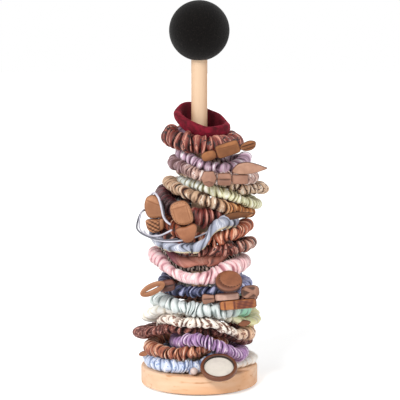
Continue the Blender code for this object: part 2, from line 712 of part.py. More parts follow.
clear_scene()
PARTS = new_collection("hair_tie_holder")
GUIDES = new_collection("guides")
WOOD = finish("pale_wood", (0.84, 0.66, 0.47), 0.6)
PAD = finish("pad_foam", (0.75, 0.73, 0.70), 0.9)
STEEL = finish("zinc_steel", (0.72, 0.73, 0.75), 0.35, 1.0)
FELT = finish("black_felt", (0.02, 0.02, 0.02), 0.95)
TAN = finish("tan_leather", (0.62, 0.38, 0.24), 0.6)
BROWN = finish("brown_leather", (0.42, 0.22, 0.14), 0.6)
DARK_BROWN = finish("dark_brown_leather", (0.20, 0.10, 0.08), 0.6)
CREAM = finish("cream_enamel", (0.90, 0.87, 0.82), 0.4)
PINK_BEAD = finish("grey_pink_bead", (0.72, 0.62, 0.60), 0.5)

base = make_base()
make_foot_pad()
make_screw()
rings, settled = settle_ties([base])

ball_bottom = top_of(rings) + HEADROOM
ball_middle = ball_bottom + BALL_DIAMETER / 2
post_top = ball_bottom + BALL_SOCKET_DEPTH
post = make_post(post_top)
make_stud(post_top)
make_ball_core(ball_middle, post_top)
make_ball_cover(ball_middle)

pieces_by_tie = [[ring] for ring in rings]
for charm in CHARMS:
    hang_charm(charm, settled, pieces_by_tie, [base, post])
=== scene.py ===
"""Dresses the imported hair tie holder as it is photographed, stocked with its stack of hair ties.

Every soft ring is rebuilt round the centre line of its own solid, as gathered cloth: puffs with sharp
creases between them. Leather pieces are rebuilt as padded or folded leather in the box of their solid,
and the wood and the felt ball are turned anew with fine edges.
Metres, +Z up; the front is -Y. Colours are written as they look on a screen. Angles round a ring are in
degrees, from its right, by its rear and left, to its front.
"""

import json
from collections import namedtuple
from math import asin, atan2, cos, degrees, exp, hypot, pi, radians, sin

import bpy
import numpy as np
from mathutils import Matrix, Vector


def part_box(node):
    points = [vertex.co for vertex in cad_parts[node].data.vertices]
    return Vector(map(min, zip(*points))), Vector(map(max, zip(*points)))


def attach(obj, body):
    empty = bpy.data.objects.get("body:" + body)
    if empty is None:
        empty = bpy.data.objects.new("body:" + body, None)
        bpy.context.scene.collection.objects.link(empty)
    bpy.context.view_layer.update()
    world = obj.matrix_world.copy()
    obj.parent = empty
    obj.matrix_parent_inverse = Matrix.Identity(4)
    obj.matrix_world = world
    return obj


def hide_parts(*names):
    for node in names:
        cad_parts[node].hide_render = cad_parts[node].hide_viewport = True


MM = 0.001
TURN = 2 * pi
UP = np.array([0.0, 0.0, 1.0])
WHITE = (1.0, 1.0, 1.0, 1.0)

# Camera: where the photograph was taken from
CAMERA_PLACE = (0.00065, -2.0, 0.491)
CAMERA_DOWN = 8.96      # degrees
CAMERA_LENS = 194.75
CAMERA_REACH = 20.0
SENSOR = 36.0

# Light
SUN_FROM = (-0.42, -1.0, 0.82)
SUN_STRENGTH = 1.85
SUN_SOFTNESS = 16.0     # degrees across
LAMPS = (
    ("fill_right", (1.5, -1.4, 0.45), 1.2, 9.0),
    ("fill_left", (-1.6, -0.9, 0.5), 1.2, 8.0),
)
AIMED_AT = (0.0, 0.0, 0.18)
SKY_STRENGTH = 0.52
FLOOR_SIZE = 6.0
FLOOR_WHITE = (0.93, 0.93, 0.93, 1.0)
FLOOR_GLOW = 0.45       # added to what the camera sees of the floor, so that only the shadow isn't white

# How finely the pieces are made
LOOP_STEPS = 24         # steps round a ring's solid
TUBE_SIDES = 26
CORD_STEPS = 240
CORD_SIDES = 8
STRAND_STEPS = 8
OUTLINE_STEPS = 84
SHARP_FROM = radians(50.0)

# How the cloth gathers. Pairs are ranges that each pleat draws from; swings are how far a value wanders
# round the tube, first once and then twice about it
PLEAT_SHARES = (0.0, 0.07, 0.16, 0.27, 0.39, 0.5, 0.61, 0.73, 0.84, 0.93)
PLEAT_WIDTHS = (0.35, 1.65)
PLEAT_DEPTHS = (0.7, 1.25)
PUFF_SIZES = (-0.14, 0.1)
PUFF_MOVES = (-0.09, 0.09)
SPLIT_PLACES = (0.35, 0.65)
DEPTH_SWINGS = (0.5, 0.4)
SIZE_SWINGS = (0.06, 0.05)
SPLIT_SWINGS = (1.1, 0.6)
CREASE_SWINGS = (0.36, 0.22)
SWING_SIZES = (0.3, 1.0)
SLOW_SWING = 0.35
SLOW_WAVES = 3
DOME_POWER = 0.62
DEEPEST = 0.62
SHALLOWEST = 0.1
SPLIT_WIDTH = 0.13
SPLIT_DEPTH = 0.6
SMOOTHED = 0.85         # how much of a crease goes where a ring lies smooth
SMOOTH_REACH = 1.3      # how far that reaches, against half the stretch
FULLNESS = 1.05         # of the cloth, against its solid
CLOTH_GATHERED = 1.6    # length of cloth for each length of ring
HEM_STARTS = (28.2 * MM, 29.2 * MM)     # across the cloth
HEM_ENDS = (32.6 * MM, 31.8 * MM)

# The velvet band. Waves are how many there are round it, and their size; sizes are shares of its solid's
BAND_SEED = 77
BAND_THICK = 1.3
BAND_SQUARE = (0.8, 0.62)               # powers that square its section, sideways and upwards
BAND_LEANS = ((2, 0.175), (5, 0.1))
BAND_SWELLS = ((3, 0.06), (7, 0.04))
# where it is taller or lower: the angle round it, how wide that stretch is, by how much its height changes
# and by how much it sinks
BAND_STRETCHES = (
    (125, 90, 0.6, 0.48),
    (188, 42, -0.3, 0),
    (8, 46, -0.5, 0),
    (55, 40, 0.25, 0),
    (50, 75, 0, 0.75),
    (160, 40, 0, 0.3),
    (82, 44, 0.3, 0.3),
)
BAND_THICKER = (195, 60, 0.4)       # the angle, how wide that stretch is, and by how much
BAND_FLARE = (185, 70, 0.5)

# The elastic: the ends of its two cords' names, how far each is turned, how thick it is as a share of the
# solid, and how far it swings out at the left
CORDS = (("_first", 0.0, 0.7, 0.0), ("_second", pi, 0.6, -1.6 * MM))
CORD_TWISTS = 2
CORDS_LEVEL_AT = 200.0
CORD_OFFSET = 0.4       # from the line between them, as a share of the solid
CORDS_SWING = (190.0, 60.0)
CORDS_RISE = (150.0, 34.0, 9.0 * MM)    # where they pass behind a charm

# The stand, the ball, and the charms
SOCKET = 7.8 * MM       # of the base and of the ball, for the post
SOCKET_DEEP = 8.0 * MM
SOCKET_EDGE = 0.4 * MM
BASE_EDGE = 1.8 * MM
POST_EDGE = 0.8 * MM
FELT_THICK = 1.2 * MM
STITCH_HALF = 0.85 * MM
STITCH_THIN = 0.16 * MM
STITCH_FAT = 0.35 * MM
STITCH_SIDES = 6
STITCH_AIMED = 0.3 * MM     # how far ahead the outline's direction is taken
STITCH_DEEP = {"left_charm_block": 0.82, "right_charm_block": 0.82, "round_leather_charm": 0.84}
STRAP_THICK = 4.9 * MM
STRAP_STEPS = 72
STRAP_SIDES = 10
RIM_WIDE = 3.2 * MM
RIM_EDGE = 1.4 * MM
SEAM_MIDDLE = (0.09, 0.1)   # of the round charm, in shares of its box
SEAM_RADIUS = 0.43
SEAM_ANGLES = (165.0, 325.0)
SEAM_POINTS = 40
PAD_SEAM = 0.86             # how far out the pads are stitched, as a share of their outline

Look = namedtuple("Look", "pleats depth main crest crease rough pattern second", defaults=(None, None))
# pleats: how many round the ring; depth: of the creases, as a share of the tube;
# main, crest, crease: colours of the cloth, of the highlight painted on its folds' tops and of the shade
# painted in the creases between them;
# second: the colour that the pattern draws
LOOKS = {
    "cream_scrunchie": Look(50, 0.34, "FFFAF2", "FFFFFC", "F2E6D8", 0.6),
    "blue_print_scrunchie": Look(38, 0.38, "D0DAF0", "FAFCFE", "6A7EA4", 0.55, "dots", "9CAED4"),
    "rust_striped_scrunchie": Look(42, 0.52, "9E5236", "F8D4B8", "2C0C06", 0.4, "stripes", "E0A07A"),
    "purple_scrunchie": Look(60, 0.48, "AC82B4", "F8E8F4", "341640", 0.36),
    "dark_brown_scrunchie": Look(56, 0.46, "602822", "B4705F", "220A08", 0.5, "spots", "C48C80"),
    "cream_striped_scrunchie": Look(42, 0.57, "FCF0E2", "FFFCF4", "7E5648", 0.5, "blots", "84503F"),
    "organza_scrunchie": Look(44, 0.40, "FFFCF4", "FFFFFA", "E6DECC", 0.45),
    "mint_scrunchie": Look(46, 0.48, "DEE6E4", "FCFFFE", "7E8C8A", 0.4),
    "brown_bow_tie": Look(42, 0.34, "8E5A48", "D8A898", "2C100A", 0.5, "stripes", "5E3428"),
    "navy_scrunchie": Look(40, 0.56, "383E62", "B4B8DA", "080A1C", 0.32),
    "pink_scrunchie": Look(46, 0.44, "F6C6CA", "FFF4F2", "C4848E", 0.5, "spots", "FADCD8"),
    "zebra_scrunchie": Look(56, 0.28, "EBD8C8", "F6EAE0", "2A1610", 0.6, "zebra", "1C0E0A"),
    "brown_band": Look(9, 0.05, "A86654", "C48A78", "4A241C", 0.42),
    "dark_leopard_scrunchie": Look(50, 0.50, "803A2C", "E4AC98", "1C0504", 0.4, "blots", "2C0C08"),
    "coral_scrunchie": Look(40, 0.54, "B45C3C", "F8C4A4", "2C0A04", 0.38, "stripes", "742C1A"),
    "steel_blue_scrunchie": Look(24, 0.38, "A4A9BC", "DEE0EA", "4A4C5A", 0.32, "hem", "E2D6AE"),
    "burgundy_scrunchie": Look(42, 0.50, "7A322A", "D69482", "180605", 0.3),
    "beige_striped_scrunchie": Look(50, 0.50, "CCA888", "FFF2DE", "361A12", 0.5, "stripes", "7C482C"),
    "green_scrunchie": Look(56, 0.40, "F0EEC4", "FFFEF0", "A09668", 0.45),
    "leopard_scrunchie": Look(46, 0.46, "DCB898", "FFF0DE", "2E140C", 0.5, "blots", "481E16"),
    "taupe_bow_scrunchie": Look(50, 0.42, "D0AA9C", "FFF4EE", "5A3836", 0.55, "spots", "8E6862"),
    "lilac_scrunchie": Look(32, 0.48, "CCA8BE", "FFF8FC", "4E3040", 0.34),
    "rust_leopard_scrunchie": Look(34, 0.50, "78281A", "DE9A84", "160404", 0.36, "blots", "240806"),
    "mauve_band": Look(10, 0.08, "86687A", "A68C9A", "44323E", 0.7),
}
# a ring's colour at one end, and that of the highlight painted on its folds' tops there, where they differ
# from the rest: where that begins and where it is full, as shares of half the ring's width from its middle,
# left being negative
SIDE_COLORS = {
    "green_scrunchie": (-0.05, -0.6, "EAF2EC", "FFFFFF"),
    "organza_scrunchie": (0.25, 0.75, "FAF4B6", "FFFDE2"),
    "navy_scrunchie": (0.5, 0.85, "A3A9D6", "DDE0F6"),
    "mint_scrunchie": (0.62, 0.85, "9CDCBC", "E0F6EA"),
    "cream_striped_scrunchie": (0.45, 0.85, "E8BE9C", "FBE2CC"),
    "burgundy_scrunchie": (-0.15, -0.55, "30080E", "6A1C26"),
    "beige_striped_scrunchie": (0.15, 0.55, "B46E36", "E8B47C"),
    "taupe_bow_scrunchie": (-0.4, -0.8, "86666C", "D0B2B4"),
    "brown_band": (-0.3, -0.7, "601A2C", "96505C"),
    "dark_leopard_scrunchie": (0.5, 0.9, "A46854", "F8D4C2"),
    "pink_scrunchie": (0.3, 0.8, "FED4D4", "FFFAF6"),
}
# where a ring lies smooth, as angles round it in degrees: from its right, by its rear and left, to its front
SMOOTH_STRETCHES = {
    "pink_scrunchie": (243, 266),
    "rust_leopard_scrunchie": (284, 330),
    "burgundy_scrunchie": (150, 215),
    "steel_blue_scrunchie": (296, 322),
}
# where a ring is fuller or thinner: the angle round it, how wide that stretch is, by how much,
# and how far it rises there, in mm
FULLER_STRETCHES = {
    "organza_scrunchie": ((190, 60, 0.6, 0.5),),
    "burgundy_scrunchie": ((276, 60, 0.4, 4.5), (185, 60, 0.15, 0)),
    "dark_brown_scrunchie": ((182, 26, 0.36, 0),),
    "pink_scrunchie": ((243, 44, -0.22, -2.5), (284, 24, 0.12, 0.5), (312, 50, 0.32, 3)),
    "rust_leopard_scrunchie": ((262, 60, 0.08, 0), (299, 22, 0.1, -1.2)),
    "leopard_scrunchie": ((260, 22, 0.12, 1),),
    "mauve_band": ((206, 55, 0.55, 2.4),),
    "dark_leopard_scrunchie": ((288, 30, 0.14, 0.8),),
    "mint_scrunchie": ((285, 80, 0.12, -1),),
    "coral_scrunchie": ((300, 60, 0.15, 0), (285, 16, 0.14, -1.2), (350, 26, 0.12, 2)),
    "cream_striped_scrunchie": ((345, 50, 0.2, -2),),
    "green_scrunchie": ((262, 40, 0.22, -1.5),),
    "beige_striped_scrunchie": ((280, 40, 0.1, 1.5),),
    "steel_blue_scrunchie": ((341, 30, 0.55, 1.5), (303, 34, 0.05, 4)),
}

# the elastic's strands that cross by the two charms: their cord, its thickness and their places, in mm
CROSSING_STRANDS = (
    ("pale", 2, (
        (-45.2, -19, 179.6), (-44.2, -24, 184.6), (-41.2, -31, 187.1), (-37.9, -37, 184.3),
        (-35.6, -38, 177.9), (-34.2, -39, 171.6), (-32.8, -42, 166.5), (-30, -46, 163), (-26.3, -50, 160.9),
    )),
    # painted shadow: a thin dark strand laid beside the first strand, where its shadow falls
    ("dark", 0.9, (
        (-36.6, -36.5, 183.7), (-33.8, -37, 176.8), (-32.4, -38, 170.5), (-31, -42, 165.6),
        (-28.2, -47, 162.7),
    )),
    ("pale", 1.8, (
        (-51.3, -20, 149.7), (-48.3, -30, 148.1), (-42.6, -37, 147.9), (-36.1, -41, 149.1),
        (-30.5, -45, 152.1), (-25, -49, 155.6),
    )),
    ("dark", 1.2, (
        (-52.3, -18, 147.4), (-47.4, -30, 145.8), (-39.8, -40, 145.2), (-30.5, -47, 146),
        (-19.5, -51, 148.1),
    )),
)

# tilt, lean and turn of each charm, in degrees, as its solids hang
FACINGS = {
    "charm_bead": (0, 0, 0),
    "disc_charm": (0, 60, 0),
    "rust_tab": (12, 0, 0),
    "olive_tab": (12, 0, 0),
    "brown_bow": (5, 0, 0),
    "dark_brown_knot": (10, 0, 0),
    "tan_leather_loop": (26, 0, 0),
    "round_leather_charm": (0, 51, 0),
    "left_charm": (4, 0, -12),
    "right_charm": (16, 0, 0),
    "suede_tab": (8, 0, 0),
    "leather_bow": (0, 0, 0),
    "suede_bow": (18, 0, 0),
}


def color(text):
    """A screen colour in hexadecimal, as nodes take it."""
    parts = [int(text[i:i + 2], 16) / 255 for i in (0, 2, 4)]
    linear = [c / 12.92 if c <= 0.04045 else ((c + 0.055) / 1.055) ** 2.4 for c in parts]
    return (*linear, 1.0)


def add(kind, inputs, tree=None, **settings):
    """A shader node, with its inputs set or linked."""
    sources = {name: value for name, value in inputs.items() if isinstance(value, bpy.types.NodeSocket)}
    tree = tree or next(iter(sources.values())).id_data
    made = tree.nodes.new("ShaderNode" + kind)
    for name, value in settings.items():
        setattr(made, name, value)
    for name, value in inputs.items():
        if name in sources:
            tree.links.new(value, made.inputs[name])
        else:
            made.inputs[name].default_value = value
    return made


def darker(shade, share):
    """A colour mixed with a share of black."""
    return (*(part * (1 - share) for part in shade[:3]), 1.0)


def calc(kind, *values, **settings):
    """The result of one sum on values."""
    return add("Math", dict(enumerate(values)), operation=kind, **settings).outputs[0]


def mix(factor, first, second, blend="MIX"):
    """Two colours mixed."""
    made = add("Mix", {0: factor, 6: first, 7: second}, data_type="RGBA", blend_type=blend)
    return made.outputs[2]


def ramp(value, low, high):
    """Smoothly from 0 at low to 1 at high."""
    inputs = {"Value": value, "From Min": low, "From Max": high}
    return add("MapRange", inputs, interpolation_type="SMOOTHSTEP").outputs["Result"]


def spread(value, low, high):
    """A value from 0 to 1, spread from low to high."""
    return add("MapRange", {"Value": value, "To Min": low, "To Max": high}).outputs["Result"]


def stretched(place, scale):
    """Coordinates multiplied along each axis."""
    return add("VectorMath", {0: place, 1: scale}, operation="MULTIPLY").outputs["Vector"]


def noise(place, scale, detail=3.0, roughness=0.55):
    """A noise value from 0 to 1."""
    inputs = {"Vector": place, "Scale": scale, "Detail": detail, "Roughness": roughness}
    return add("TexNoise", inputs).outputs["Fac"]


def folded_noise(place, across, scale, detail):
    """Noise, drawn out as the folds are."""
    return noise(stretched(place, (1.0, across, 1.0)), scale, detail)


def cells(place, scale):
    """The distance from the nearest cell's middle."""
    return add("TexVoronoi", {"Vector": place, "Scale": scale}).outputs["Distance"]


def axis_of(place, axis):
    """One coordinate of a place."""
    return add("SeparateXYZ", {"Vector": place}).outputs[axis]


def object_place(tree):
    """A point's place in the holder, in metres."""
    return add("TexCoord", {}, tree).outputs["Object"]


def cloth_place(tree):
    """A point's place on the cloth, in metres."""
    return add("UVMap", {}, tree, uv_map="cloth").outputs["UV"]


def painted_shade_of(tree):
    """How much painted shade a point takes: for cloth, how deep in a crease it lies; for leather and wood,
    how dark it is drawn.
    """
    return add("Attribute", {}, tree, attribute_name="crease").outputs["Fac"]


def new_material(name, inputs):
    """A material and its node tree."""
    made = bpy.data.materials.new(name)
    made.use_nodes = True
    shader = made.node_tree.nodes["Principled BSDF"]
    for socket, value in inputs.items():
        shader.inputs[socket].default_value = value
    return made, made.node_tree


def dressed(material, base, height, distance, strength=0.6):
    """The material with its colour and its relief."""
    tree = material.node_tree
    shader = tree.nodes["Principled BSDF"]
    inputs = {"Height": height, "Distance": distance, "Strength": strength}
    tree.links.new(base, shader.inputs["Base Color"])
    tree.links.new(add("Bump", inputs).outputs["Normal"], shader.inputs["Normal"])
    return material


def dots(place):
    """A small all-over print of blots."""
    return ramp(cells(place, scale=330.0), low=0.42, high=0.3)


def spots(place):
    """Uneven spots."""
    return ramp(folded_noise(place, across=0.7, scale=420.0, detail=2.0), low=0.54, high=0.62)


def blots(place):
    """Uneven blots, some round a bare middle."""
    warp = noise(place, scale=300.0, detail=1.0)
    uneven = calc("ADD", cells(place, scale=210.0), warp)
    blot = ramp(uneven, low=0.86, high=0.78)
    return calc("MULTIPLY", blot, ramp(uneven, low=0.54, high=0.62))


def stripes(place):
    """Stripes along the folds, of uneven width."""
    return ramp(folded_noise(place, across=0.12, scale=520.0, detail=1.5), low=0.54, high=0.62)


def zebra(place):
    """Bars across the cloth that fork and bend."""
    bars = add("TexWave", {"Vector": place, "Scale": 70.0, "Distortion": 5.0, "Detail": 1.0})
    return ramp(bars.outputs["Fac"], low=0.42, high=0.6)


def hem(place):
    """A wavy edge under the ring."""
    wave = calc("MULTIPLY", noise(place, scale=90.0, detail=1.0), 5.0 * MM)
    level = calc("ADD", axis_of(place, "Y"), wave)
    return calc("MULTIPLY", ramp(level, *HEM_STARTS), ramp(level, *HEM_ENDS))


# how much of its second colour each pattern shows at a place
PATTERNS = {"hem": hem, "dots": dots, "spots": spots, "blots": blots, "stripes": stripes, "zebra": zebra}


def ends_colored(tree, node, base, top):
    """The cloth's colour and its painted highlight's colour, changed towards the end that SIDE_COLORS names.
    """
    start, full, end_main, end_highlight = SIDE_COLORS[node]
    low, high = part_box(node)
    middle, reach = (high[0] + low[0]) / 2, (high[0] - low[0]) / 2
    east = axis_of(object_place(tree), "X")
    share = ramp(east, middle + start * reach, middle + full * reach)
    return mix(share, base, color(end_main)), mix(share, top, color(end_highlight))


def cloth_material(node, look):
    """Printed cloth, with painted shade in the creases and a painted highlight on the folds' tops."""
    made, tree = new_material(node + "_fabric", {"Roughness": look.rough, "Sheen Weight": 0.04})
    place = cloth_place(tree)
    depth = painted_shade_of(tree)
    base, top = color(look.main), color(look.crest)
    if node in SIDE_COLORS:
        base, top = ends_colored(tree, node, base, top)
    # painted highlight: streaks of the pale colour on the folds' tops
    streaks = folded_noise(place, across=0.14, scale=420.0, detail=2.0)
    on_top = ramp(depth, low=0.18, high=0.02)
    crest = calc("MULTIPLY", on_top, ramp(streaks, low=0.43, high=0.56))
    base = mix(crest, base, top)
    if look.pattern:
        base = mix(PATTERNS[look.pattern](place), base, color(look.second))
    # painted shade in the creases, deeper in some creases than in others
    uneven = ramp(noise(place, scale=75.0, detail=1.0), low=0.25, high=0.6)
    crease = calc("MULTIPLY", ramp(depth, low=0.2, high=0.56), spread(uneven, 0.5, 1.0))
    base = mix(crease, base, color(look.crease))
    folds = folded_noise(place, across=0.16, scale=800.0, detail=3.0)
    weave = noise(place, scale=3000.0, detail=1.0)
    relief = calc("MULTIPLY_ADD", folds, weave, 0.25)
    return dressed(made, base, relief, distance=0.9 * MM, strength=0.75)


def velvet_material(name, text, inner_middle, inner_reach):
    """Crushed velvet, with painted shade on the band's inner side."""
    made, tree = new_material(name, {
        "Roughness": 0.75, "Specular IOR Level": 0.2,
        "Sheen Weight": 0.7, "Sheen Roughness": 0.35, "Sheen Tint": color("C83850"),
    })
    place = cloth_place(tree)
    dark = darker(color(text), 0.75)
    lean = ramp(noise(place, scale=160.0, detail=4.0), low=0.3, high=0.7)
    # painted shade on the band's inner side, where the cloth faces the post
    away = calc("ABSOLUTE", calc("SUBTRACT", axis_of(place, "Y"), inner_middle))
    inner = ramp(away, low=inner_reach, high=0.6 * inner_reach)
    base = mix(calc("MULTIPLY", inner, 0.7), mix(lean, dark, color(text)), dark)
    return dressed(made, base, noise(place, scale=2200.0), distance=0.25 * MM)


def leather_material(name, text, dark_text, grain=1500.0, roughness=0.55):
    """Leather with a fine grain, and painted shade at its edges and folds."""
    made, tree = new_material(name, {"Roughness": roughness})
    place = object_place(tree)
    depth = painted_shade_of(tree)
    hide, dark = color(text), color(dark_text)
    cloud = noise(place, scale=130.0, detail=5.0, roughness=0.65)
    base = mix(ramp(cloud, low=0.25, high=0.75), hide, dark)
    base = mix(0.55, hide, base)
    # painted shade: darker at the edges and folds, darkest in the deepest of them
    base = mix(ramp(depth, low=0.05, high=0.6), base, dark)
    base = mix(ramp(depth, low=0.5, high=1.0), base, darker(dark, 0.72))
    grainy = calc("ADD", cells(place, grain), noise(place, scale=500.0))
    return dressed(made, base, grainy, distance=0.16 * MM)


def wood_material(name, stretch, pale, warm, line):
    """Planed pine with long grain and a few small knots."""
    made, tree = new_material(name, {"Roughness": 0.55})
    place = object_place(tree)
    long = stretched(place, stretch)
    broad = noise(long, scale=1.0, detail=3.0, roughness=0.5)
    base = mix(ramp(broad, low=0.3, high=0.7), color(pale), color(warm))
    lines = noise(stretched(long, (4.0, 4.0, 4.0)), scale=1.0, detail=4.0, roughness=0.6)
    base = mix(ramp(lines, low=0.58, high=0.72), base, color(line))
    knots = ramp(cells(place, scale=26.0), low=0.06, high=0.02)
    base = mix(knots, base, color("9A6238"))
    return dressed(made, base, lines, distance=0.15 * MM, strength=0.4)


def felt_material(name):
    """Black felt with short fuzz."""
    made, tree = new_material(name, {"Roughness": 0.95, "Sheen Weight": 0.1, "Specular IOR Level": 0.08})
    place = object_place(tree)
    fuzz = noise(place, scale=900.0, detail=4.0, roughness=0.7)
    base = mix(ramp(fuzz, low=0.5, high=0.85), color("0C0A09"), color("2E2825"))
    relief = noise(place, scale=600.0, detail=5.0, roughness=0.7)
    return dressed(made, base, relief, distance=0.5 * MM, strength=0.8)


def plain_material(name, text, roughness, metallic=0.0, mottle=0.1):
    """A smooth finish with a faint unevenness."""
    made, tree = new_material(name, {"Roughness": roughness, "Metallic": metallic})
    place = object_place(tree)
    dull = 1.0 - mottle
    uneven = ramp(noise(place, scale=220.0, detail=4.0), low=0.3, high=0.8)
    base = mix(uneven, color(text), (dull, dull, dull, 1.0), "MULTIPLY")
    return dressed(made, base, noise(place, scale=800.0), distance=0.05 * MM, strength=0.3)


def linked(name, data):
    """An object in the scene."""
    made = bpy.data.objects.new(name, data)
    bpy.context.scene.collection.objects.link(made)
    return made


def mesh_piece(name, points, faces, material, painted_shades=None):
    """A smooth mesh, with the painted shade of each of its points."""
    mesh = bpy.data.meshes.new(name)
    mesh.from_pydata(np.reshape(points, (-1, 3)).tolist(), [], faces)
    if painted_shades is not None:
        depth = mesh.attributes.new("crease", "FLOAT", "POINT")
        depth.data.foreach_set("value", np.asarray(painted_shades, dtype=np.float32).ravel())
    mesh.materials.append(material)
    mesh.shade_smooth()
    return linked(name, mesh)


def grid_piece(name, points, along_m, girth, material, painted_shades=None):
    """A closed ring from a grid of points, laid out on its cloth."""
    rows, columns = points.shape[:2]
    around_m = np.arange(columns + 1) / columns * girth
    faces = []
    places = []
    for i in range(rows):
        for j in range(columns):
            k, m = (i + 1) % rows, (j + 1) % columns
            faces.append((i * columns + j, k * columns + j, k * columns + m, i * columns + m))
            corners = ((i, j), (i + 1, j), (i + 1, j + 1), (i, j + 1))
            places += [(along_m[a], around_m[b]) for a, b in corners]
    piece = mesh_piece(name, points, faces, material, painted_shades)
    layer = piece.data.uv_layers.new(name="cloth")
    layer.uv.foreach_set("vector", np.array(places, dtype=np.float32).ravel())
    return piece


def wall_faces(first, rings, sides):
    """The faces between rings of points, numbered from first."""
    faces = []
    for low in range(first, first + (rings - 1) * sides, sides):
        high = low + sides
        for k in range(sides):
            m = (k + 1) % sides
            faces.append((low + k, low + m, high + m, high + k))
    return faces


def rod_faces(first, rings, sides):
    """The faces of a rod of rings, closed at both ends."""
    last = first + (rings - 1) * sides
    ends = [tuple(reversed(range(first, first + sides))), tuple(range(last, last + sides))]
    return wall_faces(first, rings, sides) + ends


def node_points(node):
    """The corners of a CAD node's mesh."""
    return np.array([corner.co for corner in frame["nodes"][node].data.vertices])


Ring = namedtuple("Ring", "line width height")


def ring_of(node):
    """The centre line of a ring's solid, and half its tube's size."""
    points = node_points(node)
    low, high = points.min(axis=0), points.max(axis=0)
    middle, half = (low + high) / 2, (high - low) / 2
    angles = np.arctan2((points[:, 1] - middle[1]) / half[1], (points[:, 0] - middle[0]) / half[0])
    steps = np.round(angles / TURN * LOOP_STEPS).astype(int) % LOOP_STEPS
    groups = [points[steps == step] for step in range(LOOP_STEPS)]
    line = np.array([(group.min(axis=0) + group.max(axis=0)) / 2 for group in groups])
    spans = np.array([group.max(axis=0) - group.min(axis=0) for group in groups])
    width = np.hypot(spans[:, 0], spans[:, 1]).max() / 2
    return Ring(line, width, spans[:, 2].max() / 2)


def between(a, b, c, d, share):
    """Points from b to c, on a smooth curve from a to d."""
    t = share[:, None]
    line = b + t * (c - a) / 2 + t ** 2 * (a - 2.5 * b + 2 * c - d / 2)
    return line + t ** 3 * (1.5 * (b - c) + (d - a) / 2)


def along(line, places):
    """Points of a closed smooth line, at places from 0 to 1."""
    count = len(line)
    at = np.asarray(places) * count
    whole = np.floor(at).astype(int)
    return between(*(line[(whole + shift) % count] for shift in (-1, 0, 1, 2)), at - whole)


def unit(vectors):
    """Vectors, each with a length of 1."""
    return vectors / np.linalg.norm(vectors, axis=1)[:, None]


def directions(points):
    """Unit vectors along a closed line, and out from it."""
    ahead = unit(np.roll(points, -1, axis=0) - np.roll(points, 1, axis=0))
    out = np.stack([ahead[:, 1], -ahead[:, 0], np.zeros(len(ahead))], axis=1)
    return ahead, unit(out)


def lengths_along(points, stretch=1.0):
    """The length at each point of a closed line, and at its end."""
    steps = np.linalg.norm(np.roll(points, -1, axis=0) - points, axis=1)
    return np.concatenate([[0.0], np.cumsum(steps)]) * stretch


def turns(count):
    """Angles spread evenly over a turn."""
    return np.arange(count) * TURN / count


def squared(value, power):
    """A sine or cosine, bent for a squarer round."""
    return np.sign(value) * np.abs(value) ** power


def swung(draw, rows, tube, swings):
    """For each row, a random swing round the tube."""
    phases = draw.uniform(0, TURN, (2, rows, 1))
    sizes = draw.uniform(*SWING_SIZES, (2, rows, 1))
    first, second = swings
    return first * sizes[0] * np.sin(tube + phases[0]) + second * sizes[1] * np.sin(2 * tube + phases[1])


def near_angle(places, middle, width):
    """For places round a ring: 1 at an angle, 0 at this width from it."""
    apart = np.abs((places * 360.0 - middle + 180.0) % 360.0 - 180.0)
    share = np.clip(1 - apart / width, 0, 1)
    return share ** 2 * (3 - 2 * share)


def surface(line, out, sideways, upwards):
    """A grid of points round a line."""
    return line[:, None, :] + out[:, None, :] * sideways[:, :, None] + UP * upwards[:, :, None]


def pleat_depths(node, look, draw, starts):
    """How deep each crease is."""
    depths = look.depth * draw.uniform(*PLEAT_DEPTHS, look.pleats)
    if node in SMOOTH_STRETCHES:
        start, end = SMOOTH_STRETCHES[node]
        near = near_angle(starts, (start + end) / 2, (end - start) / 2 * SMOOTH_REACH)
        depths = depths * (1 - SMOOTHED * near ** 0.5)
    return np.clip(depths, 0, DEEPEST)


Pleats = namedtuple("Pleats", "starts number after share dome")
# starts: of the pleats; and for each row of points its pleat's number, the next pleat's, how far it has come
# from the one's crease to the other's, and how far up the dome between them


def pleats_of(widths):
    """Pleats of these widths, and the places of their rows."""
    count = len(widths)
    edges = np.concatenate([[0.0], np.cumsum(widths)]) / widths.sum()
    shares = np.array(PLEAT_SHARES)
    number = np.repeat(np.arange(count), len(shares))
    share = np.tile(shares, count)[:, None]
    dome = np.sin(pi * share) ** DOME_POWER
    places = (edges[:-1, None] + shares * np.diff(edges)[:, None]).ravel()
    return Pleats(edges[:-1], number, (number + 1) % count, share, dome), places


def blended(values, pleats):
    """Values that pass from each crease to the next."""
    return values[pleats.number] * (1 - pleats.share) + values[pleats.after] * pleats.share


def puffed(node, look, draw, pleats, tube):
    """How far each point lies from the centre line, and how deep in a crease."""
    count = look.pleats
    number, share, dome = pleats.number, pleats.share, pleats.dome
    depths = pleat_depths(node, look, draw, pleats.starts)[:, None]
    deep = blended(depths * (1 + swung(draw, count, tube, DEPTH_SWINGS)), pleats)
    size = 1 + draw.uniform(*PUFF_SIZES, count)[number, None] * dome
    size = size + swung(draw, count, tube, SIZE_SWINGS)[number] * dome
    split_at = draw.uniform(*SPLIT_PLACES, (count, 1))
    splits = SPLIT_DEPTH * look.depth * np.clip(swung(draw, count, tube, SPLIT_SWINGS), 0, 1)
    split = splits[number] * np.exp(-(((share - split_at[number]) / SPLIT_WIDTH) ** 2))
    radius = FULLNESS * size - deep * (1 - dome) - split * dome
    # how deep in a crease each point lies, which sets its painted shade and painted highlight
    return radius, np.clip((FULLNESS * size - radius) / max(look.depth, SHALLOWEST), 0, 1)


